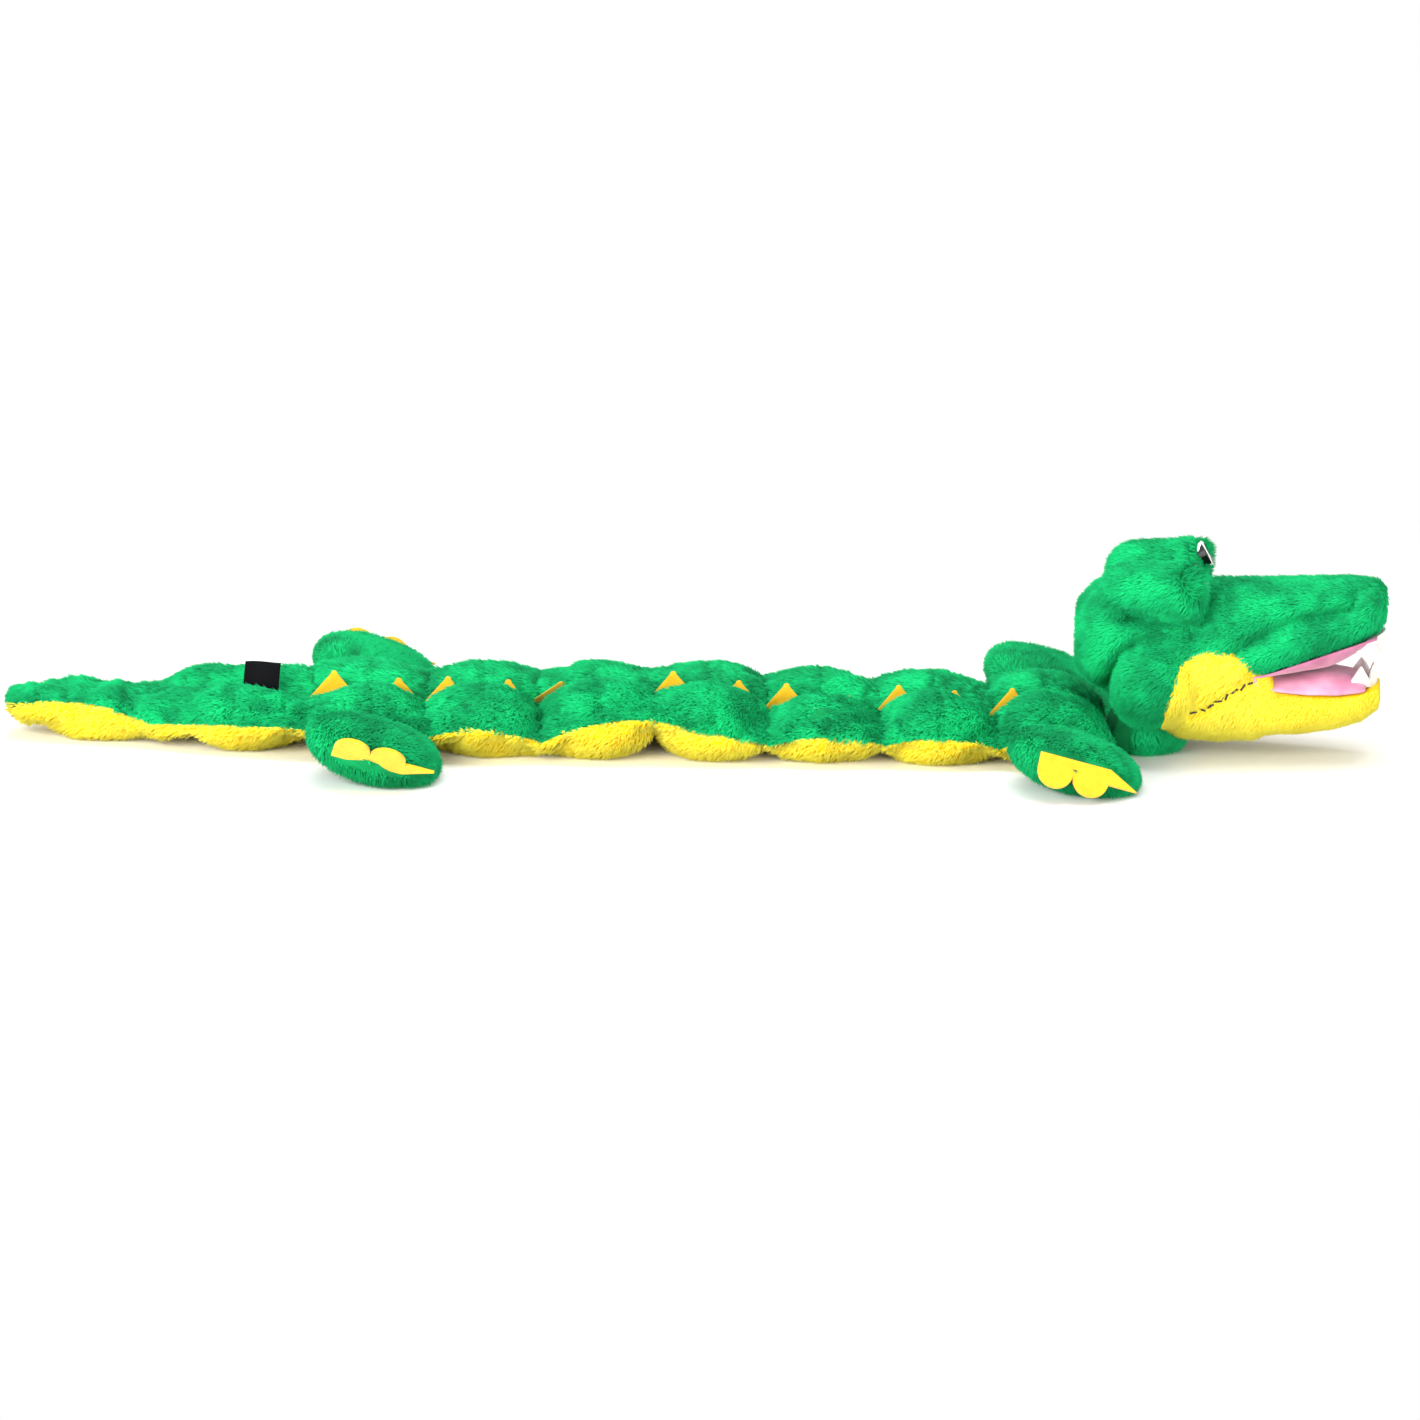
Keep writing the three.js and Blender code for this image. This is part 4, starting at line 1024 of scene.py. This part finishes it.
def cheek_depth(p):
    """Distance inside the cheek's outline in the side view, negative outside."""
    x, _, z = axes(p)
    inside = np.zeros(x.shape, bool)
    for (ax, az), (bx, bz) in zip(CHEEK_OUTLINE, CHEEK_OUTLINE[1:]):
        crosses = (az > z) != (bz > z)
        inside ^= crosses & (x < ax + (z - az) * (bx - ax) / ((bz - az) or 1e-9))
    nearest = near_path(p, CHEEK_OUTLINE)
    return np.where(inside, nearest, -nearest)


def head_field(p):
    """The upper head's form, negative inside."""
    f = loft_field(p, HEAD_SECTIONS, 0.82)
    back, tip = HEAD_BACK, SNOUT_TIP
    for side in (-1, 1):
        brow = capsule_field(p, (back + 36, side * 34, 104), (back + 61, side * 37, 105.5), 22)
        cheek = ball_field(p, (back + 50, side * 38, 50), (30, 27, 30))
        lip = capsule_field(p, (MOUTH[0] - 6, side * 42, 65), (tip - 16, side * 23, 92), 10.5)
        nostril = ball_field(p, (tip - 12, side * 23, 99), (9.5, 9.5, 9))
        lid = ball_field(p, (back + 69, side * 37, 115), (13, 15, 14))
        lid = smooth_max(lid, p[..., 0] - back - 79, 2)
        f = smooth_min(f, cheek, 2.5)
        f = smooth_min(f, smooth_min(brow, lid, 4), 4)
        f = smooth_min(f, lip, 2)
        f = smooth_min(f, nostril, 2)
    return f + crease_depth(p)


def below_roof(p):
    """Positive under the roof of the mouth."""
    x, _, z = axes(p)
    return (MOUTH[1] + (x - MOUTH[0]) * ROOF_SLOPE - z) / math.hypot(1, ROOF_SLOPE)


def from_turn_axis(p):
    return np.hypot(p[..., 0] - TURN_X, p[..., 1])


def crown_field(p):
    """The green crown's cloth: the head above the mouth, with room for the chest under it."""
    f = head_field(p) + CLOTH_INSET
    wedge = smooth_min(below_roof(p) + 0.5, p[..., 0] - MOUTH[0] + 4, 2)
    f = smooth_max(f, wedge, 2)
    recess = smooth_max(from_turn_axis(p) - RECESS_RADIUS, p[..., 2] - RECESS_TOP, 3)
    return smooth_max(f, -recess, 2) + 1.6 * np.clip(cheek_depth(p) / 2, 0, 1)


def rim_height(x):
    """The jaw's upper rim, which dips behind its tip."""
    return table_at(RIM, (x - MOUTH[0]) / (SNOUT_TIP - MOUTH[0]))[0]


def jaw_field(p):
    """The yellow cheeks, throat and lower jaw, negative inside."""
    cheek = head_field(p) + CLOTH_INSET - 0.4
    cheek = smooth_max(cheek, -cheek_depth(p) - 3, 2)
    jaw = loft_field(p, JAW_SECTIONS, 0.85) + CLOTH_INSET
    jaw = smooth_max(jaw, p[..., 2] - rim_height(p[..., 0]) + 1.0, 5)
    drawn_in = 2.5 * falloff(near_path(p, CLOSING_SEAM), 3.5) * (p[..., 1] < -20)
    return smooth_min(cheek, jaw, 8) + drawn_in


def cast(field, xs, centres, angles, farthest=100.0, step=1.0):
    """Where rays in each cross plane leave a form, as rows of points."""
    centre = table_at(centres, xs[:, None])[0]
    dy, dz = np.cos(angles), np.sin(angles)
    found = np.zeros((len(xs), len(angles)))

    def at(r):
        return vectors(xs[:, None], r * dy, centre + r * dz)

    open_rays = np.ones(found.shape, bool)
    for r in np.arange(0, farthest, step):
        outside = field(at(r + 0 * found)) > 0
        found[open_rays & outside] = r
        open_rays &= ~outside
        if not open_rays.any():
            break
    low, high = np.maximum(found - step, 0), found
    for _ in range(7):
        middle = (low + high) / 2
        outside = field(at(middle)) > 0
        high = np.where(outside, middle, high)
        low = np.where(outside, low, middle)
    return at(np.maximum(high, 0.05))


def skin(name, points, start, end, comb, pile, look):
    """A closed skin over cross rings with a tip at each end."""
    cloth = Cloth()
    grid = cloth.add_grid(points, comb, pile, closed=True, span=(0.02, 1))
    cloth.add_fan(grid[0], start, comb[0, 0], pile[0, 0])
    cloth.add_fan(grid[-1], end, comb[-1, -1], pile[-1, -1])
    return cloth.piece(name, look)


def head_skin(name, field, span, centres, ends, groom, look):
    """A skin of the straight head, groomed with its comb and pile, as it lies turned."""
    angles = np.linspace(-np.pi / 2, 1.5 * np.pi, HEAD_SIDES, endpoint=False)
    points = cast(field, lerp(*span, eased(HEAD_RINGS)), centres, angles)
    comb, pile = groom(points)
    return skin(name, turned(points), *turned(ends), turned_way(comb), pile, look)


def groom_crown(p):
    x, y, z = axes(p)
    under_roof = (np.abs(below_roof(p) + 0.5) < 1.5) & (x > MOUTH[0] - 2)
    recess = (from_turn_axis(p) < RECESS_RADIUS + 2) & (z < RECESS_TOP + 2)
    bare = under_roof | recess | (cheek_depth(p) > 1.0)
    at_seam = np.clip(-cheek_depth(p) / 5, 0, 1)
    pile = np.where(bare, 0.0, (1 - 0.55 * (crease_depth(p) / 9)) * lerp(0.6, 1.0, at_seam))

    # Fluffed forward over the outer edge of each eye
    beside_eye = vectors(x, np.abs(y), z) - [HEAD_BACK + 75, 47.5, 117]
    fluffed = falloff(np.linalg.norm(beside_eye, axis=-1), 11)
    comb = vectors(lerp(-0.75, 1.1, fluffed), 0.3 * np.sign(y), lerp(-0.45, 0.3, fluffed))
    return comb, pile * (1 + 0.5 * fluffed)


def groom_jaw(p):
    x, y, z = axes(p)
    depth = cheek_depth(p)
    hidden = (depth < 0) & (x < MOUTH[0] + 3) & (z > 14)
    top = (x > MOUTH[0]) & (z > rim_height(x) - 2.5) & (np.abs(y) < 30)
    pile = np.where(hidden | top, 0.0, lerp(0.55, 1.0, np.clip(depth / 6, 0, 1)))
    beside = (near_path(p, CLOSING_SEAM) < 3.5) & (y < 0)
    return vectors(-0.6, 0.3 * np.sign(y), -0.5), np.where(beside, pile * 0.35, pile)


def closing_stitches(cheek):
    """The thread that closes the stuffing hole, laid on the right cheek."""
    surface = surface_of(cheek)
    thread = []
    for share in np.linspace(0, len(CLOSING_SEAM) - 1, 24):
        x, z = (np.interp(share, range(len(CLOSING_SEAM)), row) for row in zip(*CLOSING_SEAM))
        origin = Vector(turned([x, -90, z]) * MM)
        place, normal, _, _ = surface.ray_cast(origin, Vector(turned_way([0, 1, 0])))
        thread.append((place + normal * THREAD_STAND * MM) / MM)
    return sew("closing_stitches", thread, spacing=5.6, length=4.6, width=1.2, seed=4)


def dress_head():
    centres = list(zip([HEAD_BACK, HEAD_BACK + 67, MOUTH[0], SNOUT_TIP - 26, SNOUT_TIP],
                       [77, 74, 80, 96, 99]))
    back, tip = HEAD_BACK + CLOTH_INSET, SNOUT_TIP - CLOTH_INSET
    piece = head_skin("head_plush_crown", crown_field, (back + 0.3, tip - 0.3), centres,
                      [[back, 0, 77], [tip, 0, 99]], groom_crown, GREEN_PLUSH)
    grow_pile(piece, 91)
    settle(piece, ["head"], ["head_crown"])

    back, front = (HEAD_BACK + share * HEAD_LENGTH for share in (0.285, 0.985))
    tip = front - CLOTH_INSET
    piece = head_skin("cheek_and_jaw_plush", jaw_field, (back + 1, tip),
                      [(back, 30), (MOUTH[0], 30), (front, 38)],
                      [[back, 0, 30], [tip + 0.5, 0, 38]], groom_jaw, YELLOW_PLUSH)
    settle(closing_stitches(piece), ["head"])
    grow_pile(piece, 92)
    settle(piece, ["head", "jaw"], ["cheek_gusset", "lower_jaw"],
           bend=turned([[MOUTH[0] - 10, 0, 30], [MOUTH[0] + 8, 0, 30]]))


CHEST_RADIUS = 32.0
CHEST_PROFILE = [(0.6, 0.72), (2.0, 0.8), (9.0, 0.97), (16.0, 1), (20.0, 0.97), (25.0, 0.84),
                 (28.5, 0.6)]  # height, share of the radius
CHEST_RINGS = 22
CHEST_SIDES = 48


def dress_chest():
    low, _ = box_mm("chest")
    angle = np.linspace(0, 2 * np.pi, CHEST_SIDES, endpoint=False)
    z, r = (np.interp(np.linspace(0, 1, CHEST_RINGS), np.linspace(0, 1, len(column)), column)
            for column in zip(*CHEST_PROFILE))
    r, z = r[:, None] * (CHEST_RADIUS - CLOTH_INSET * 0.8), z[:, None]
    clear = low[0] + 1.5 + np.abs(z - ROW_SEAMS[-1][1]) * 0.42
    points = vectors(np.maximum(TURN_X + r * np.cos(angle), clear), r * np.sin(angle), z)
    comb = vectors(np.cos(angle) + 0 * z, np.sin(angle), -1.2)
    pile = np.where(points[..., 0] > TURN_X - 6, 0.9, 0.0)
    piece = skin("chest_plush", points, [TURN_X + 4, 0, 0.5], [TURN_X + 4, 0, 28.8], comb, pile,
                 GREEN_PLUSH)
    grow_pile(piece, 93)
    settle(piece, ["neck"], ["chest"])


# Mouth lining: one sheet from the upper lip back to the corner and out to the lower lip

LINING_STEPS = 26
LINING_THICKNESS = 1.4
UPPER_HALF_WIDTHS = (44.0, 28.0)  # at the mouth's corner and at the lip
LOWER_HALF_WIDTHS = (39.0, 23.0)


def dress_mouth():
    upper = np.linspace(1, 0, LINING_STEPS)
    lower = np.linspace(0, 1, LINING_STEPS)[1:]
    x_upper = lerp(MOUTH[0] + 5, SNOUT_TIP - 8, upper)
    x_lower = lerp(MOUTH[0] + 5, SNOUT_TIP - 14, lower)
    x = np.concatenate([x_upper, x_lower])
    rise = np.concatenate([
        (x_upper - MOUTH[0]) * ROOF_SLOPE + 1.2, rim_height(x_lower) - MOUTH[1] - 0.4])
    half = np.concatenate([lerp(*UPPER_HALF_WIDTHS, upper), lerp(*LOWER_HALF_WIDTHS, lower)])
    facing = np.repeat([-1.0, 1.0], [LINING_STEPS, LINING_STEPS - 1])
    across = np.linspace(-1, 1, 31)
    dome = (1 - across**4)[None, :]
    gap = (x - MOUTH[0]) * ROOF_SLOPE + MOUTH[1] - rim_height(x)
    bulge = np.clip(gap - 3, 0, 30) * np.where(facing < 0, 0.43, 0.44)
    bulge = bulge * np.clip((SNOUT_TIP - 14 - x) / 24, 0, 1) ** 0.5
    z = (MOUTH[1] + rise)[:, None] + facing[:, None] * dome * (0.8 + bulge[:, None])
    x = x - 5 * falloff(x - MOUTH[0], 9)
    points = vectors(x[:, None], half[:, None] * across, z)
    points[..., 2] += 0.6 * ripple(points, 12, 5) * dome
    inward = np.gradient(points, axis=0)
    normal = vectors(-inward[..., 2], 0, inward[..., 0])
    normal /= np.maximum(np.linalg.norm(normal, axis=-1, keepdims=True), 1e-6)
    cloth = Cloth()
    cloth.add_shell(turned(points), turned(points + normal * LINING_THICKNESS))
    corner = turned([MOUTH[0], 0, MOUTH[1]])
    down = turned_way([math.sin(MOUTH_BISECTOR), 0, -math.cos(MOUTH_BISECTOR)])
    settle(cloth.piece("mouth_lining", PINK_LINING), ["head", "jaw"],
           ["palate_lining", "tongue_lining"], bend=(corner - down * 2, corner + down * 2))


# Felt spikes standing in the middle seam: whole triangles at the cross seams and mid row

SPIKES = [
    # along the body, base width, height, lean across, bend along
    (-226, 32, 16, 0.1, 0.0),
    (-186, 26, 13, -0.2, 0.0),
    (-156, 32, 16, 0.15, 0.1),
    (-118, 27, 15.5, -0.1, -0.1),
    (-87, 30, 16, -0.8, 0.3),
    (-52, 22, 11, 0.2, 0.0),
    (-16, 30, 15, 0.1, -0.1),
    (24, 22, 10.5, -0.15, 0.1),
    (54, 32, 16, 0.2, 0.0),
    (92, 22, 9.5, -0.1, 0.1),
    (124, 31, 16, 0.1, -0.1),
    (158, 26, 14, -0.15, 0.0),
    (194, 31, 16, 0.2, 0.1),
    (230, 28, 14, -0.1, 0.05),
]
SPIKE_FELT = 1.6
SPIKE_STAND = 11.5  # how far the tip stands over the seam


def felt_plate(outline, thickness, placed):
    """A closed felt plate from a side view outline, with its points moved by a function."""
    flat = np.array(outline, float)
    centre = flat.mean(axis=0)
    rings = [(centre + (flat - centre) * share, depth)
             for share, depth in ((0.35, 0.5), (0.7, 0.5), (0.94, 0.5), (1.0, 0.32))]
    cloth = Cloth()
    near, far = (
        cloth.add_grid(np.array([
            [placed(a, side * thickness * depth, b) for a, b in ring] for ring, depth in rings
        ]), closed=True) for side in (-1, 1))
    for grid, side in ((near, -1), (far, 1)):
        cloth.add_fan(grid[0], placed(centre[0], side * thickness / 2, centre[1]))
    round_edge = [*range(len(outline)), 0]
    cloth.add_wall(near[-1][round_edge], far[-1][round_edge])
    return cloth


def spike_outline(width, height, blunt=2.0, root=5.0):
    half = width / 2
    side = [(half * (1 - t) + blunt * t, height * t) for t in np.linspace(0, 1, 7)]
    tip = [(blunt * math.cos(a), height + blunt * math.sin(a)) for a in (0.5, 1.1, 1.57)]
    right = side + tip
    left = [(-a, b) for a, b in reversed(right[:-1])]
    return right + left + [(a, -root) for a in np.linspace(-half, half, 9)]


def dress_spikes():
    seams = [x for x, _ in ROW_SEAMS]
    for k, (x, width, height, lean, bend) in enumerate(SPIKES):
        row = int(np.clip(np.searchsorted(seams, x), 1, ROWS))
        base = box_mm(f"row_{row}_spikes")[1][2] - SPIKE_STAND

        def placed(a, b, c):
            up = c / height
            return [x + a + 3 * bend * up * up, b + lean * c + 1.5 * bend * math.sin(a / 4),
                    base + c * math.cos(lean * 0.8)]

        cloth = felt_plate(spike_outline(width, height), SPIKE_FELT, placed)
        settle(cloth.piece(f"felt_spike_{k + 1}", YELLOW_FELT), [f"row_{row}"],
               [f"row_{row}_spikes"])


def dress_label():
    """A folded loop of ribbon standing out of the middle seam, a little bent."""
    low, high = box_mm("tail_label")
    across = np.linspace(0, 1, 25)[:, None]
    up = np.linspace(0, 1, 17)[None, :]
    x = lerp(low[0], high[0], across) + 1.5 * up * up
    z = lerp(low[2], high[2] - 2.5, up)
    bend = 2.4 * np.sin(across * 4.0 + 0.6) * up**1.5 + 2.0 * up**2
    thick = 0.25 + 0.35 * np.sin(np.pi * up)
    cloth = Cloth()
    cloth.add_shell(*(vectors(x, bend + side * thick, z) for side in (-1, 1)))
    settle(cloth.piece("ribbon_label", BLACK_RIBBON), ["tail_base"],
           ["tail_label"])


def dress_small_parts():
    """Gives the pieces that stay the solids of the frame their materials."""
    looks = {"squeaker": SOFT_VINYL, "claws": YELLOW_FELT, "spikes": YELLOW_FELT,
             "teeth": WHITE_FELT, "eye_": EYE_PLASTIC}
    for name, node in frame["nodes"].items():
        for word, look in looks.items():
            if word in name:
                node.data.materials.clear()
                node.data.materials.append(look)


# Camera at the photograph's angle: the toy's right side, a little from the front and above

CAMERA_YAW = math.radians(-2)
CAMERA_ROLL = math.radians(1.2)
CAMERA_ELEVATION = math.radians(12.5)
CAMERA_DISTANCE = 5.0
PICTURE_WIDTH = 0.8804  # metres across the picture at the toy
AIM_RIGHT = 0.0068
AIM_UP = 0.0198
SURROUND = 0.5  # strength of the white room's light
FLOOR_HALF = 8000.0
FLOOR_FADE = (0.5, 0.9)  # metres from the middle, where the floor turns plain white


def add_camera():
    right = Vector((math.cos(CAMERA_YAW), math.sin(CAMERA_YAW), 0))
    back = Vector((
        math.sin(CAMERA_YAW) * math.cos(CAMERA_ELEVATION),
        -math.cos(CAMERA_YAW) * math.cos(CAMERA_ELEVATION),
        math.sin(CAMERA_ELEVATION),
    ))
    up = back.cross(right)
    aim = right * AIM_RIGHT + up * AIM_UP
    right, up = (
        right * math.cos(CAMERA_ROLL) + up * math.sin(CAMERA_ROLL),
        up * math.cos(CAMERA_ROLL) - right * math.sin(CAMERA_ROLL),
    )
    data = bpy.data.cameras.new("camera")
    data.lens = data.sensor_width * CAMERA_DISTANCE / PICTURE_WIDTH
    turn = Matrix((right, up, back)).transposed().to_4x4()
    scene.camera = new_object("camera", data)
    scene.camera.matrix_world = Matrix.Translation(aim + back * CAMERA_DISTANCE) @ turn


def add_lamp(name, place, aim, size, power):
    data = bpy.data.lights.new(name, "AREA")
    data.shape = "RECTANGLE"
    data.size, data.size_y = size
    data.energy = power
    turn = (Vector(aim) - Vector(place)).to_track_quat("-Z", "Y").to_matrix().to_4x4()
    new_object(name, data).matrix_world = Matrix.Translation(place) @ turn


def seen_directly(tree):
    """1 for rays from the camera, in a mirror or through something clear, otherwise 0."""
    path = add(tree, "ShaderNodeLightPath").outputs
    seen = maths(tree, "MAXIMUM", path["Is Camera Ray"], path["Is Glossy Ray"])
    return maths(tree, "MAXIMUM", seen, path["Is Transmission Ray"])


def add_floor():
    """A pale sweep that keeps the toy's shadow near it and is plain white further out."""
    corners = [(FLOOR_HALF * a, FLOOR_HALF * b, 0) for a, b in ((-1, -1), (1, -1), (1, 1), (-1, 1))]
    floor = new_piece("floor", corners, [], [(0, 1, 2, 3)])
    made, tree, shader = material("white paper sweep", {
        "Base Color": linear("#fcfcfc"), "Roughness": 0.9, "Specular IOR Level": 0.1})
    far = put(tree, "ShaderNodeVectorMath", {0: object_place(tree)}, "Value", operation="LENGTH")
    fade = put(tree, "ShaderNodeMapRange", {
        "Value": far, "From Min": FLOOR_FADE[0], "From Max": FLOOR_FADE[1]}, "Result")
    white = put(tree, "ShaderNodeEmission", {"Color": (1, 1, 1, 1), "Strength": 1.0})
    share = maths(tree, "MULTIPLY", fade, seen_directly(tree))
    both = put(tree, "ShaderNodeMixShader", {0: share, 1: shader.outputs[0], 2: white})
    tree.links.new(both, tree.nodes["Material Output"].inputs["Surface"])
    floor.data.materials.append(made)


def add_studio():
    add_lamp("softbox_top", (0.1, 0.2, 1.6), (0, 0, 0), (2.0, 1.0), 20)
    add_lamp("softbox_front", (-1.1, -1.6, 0.7), (0, 0, 0.03), (1.4, 0.9), 52)
    add_lamp("softbox_low", (0.9, -1.9, 0.35), (0, 0, 0.03), (1.6, 0.6), 26)
    scene.world = bpy.data.worlds.new("studio")
    scene.world.use_nodes = True
    tree = scene.world.node_tree
    surround = tree.nodes["Background"]
    surround.inputs["Color"].default_value = (1, 1, 1, 1)
    strength = maths(tree, "MULTIPLY_ADD", seen_directly(tree), 1 - SURROUND, SURROUND)
    tree.links.new(strength, surround.inputs["Strength"])
    add_floor()


add_camera()
add_studio()
dress_small_parts()
dress_label()
dress_body()
dress_legs()
dress_head()
dress_chest()
dress_mouth()
dress_spikes()

scene.view_settings.view_transform = "Standard"
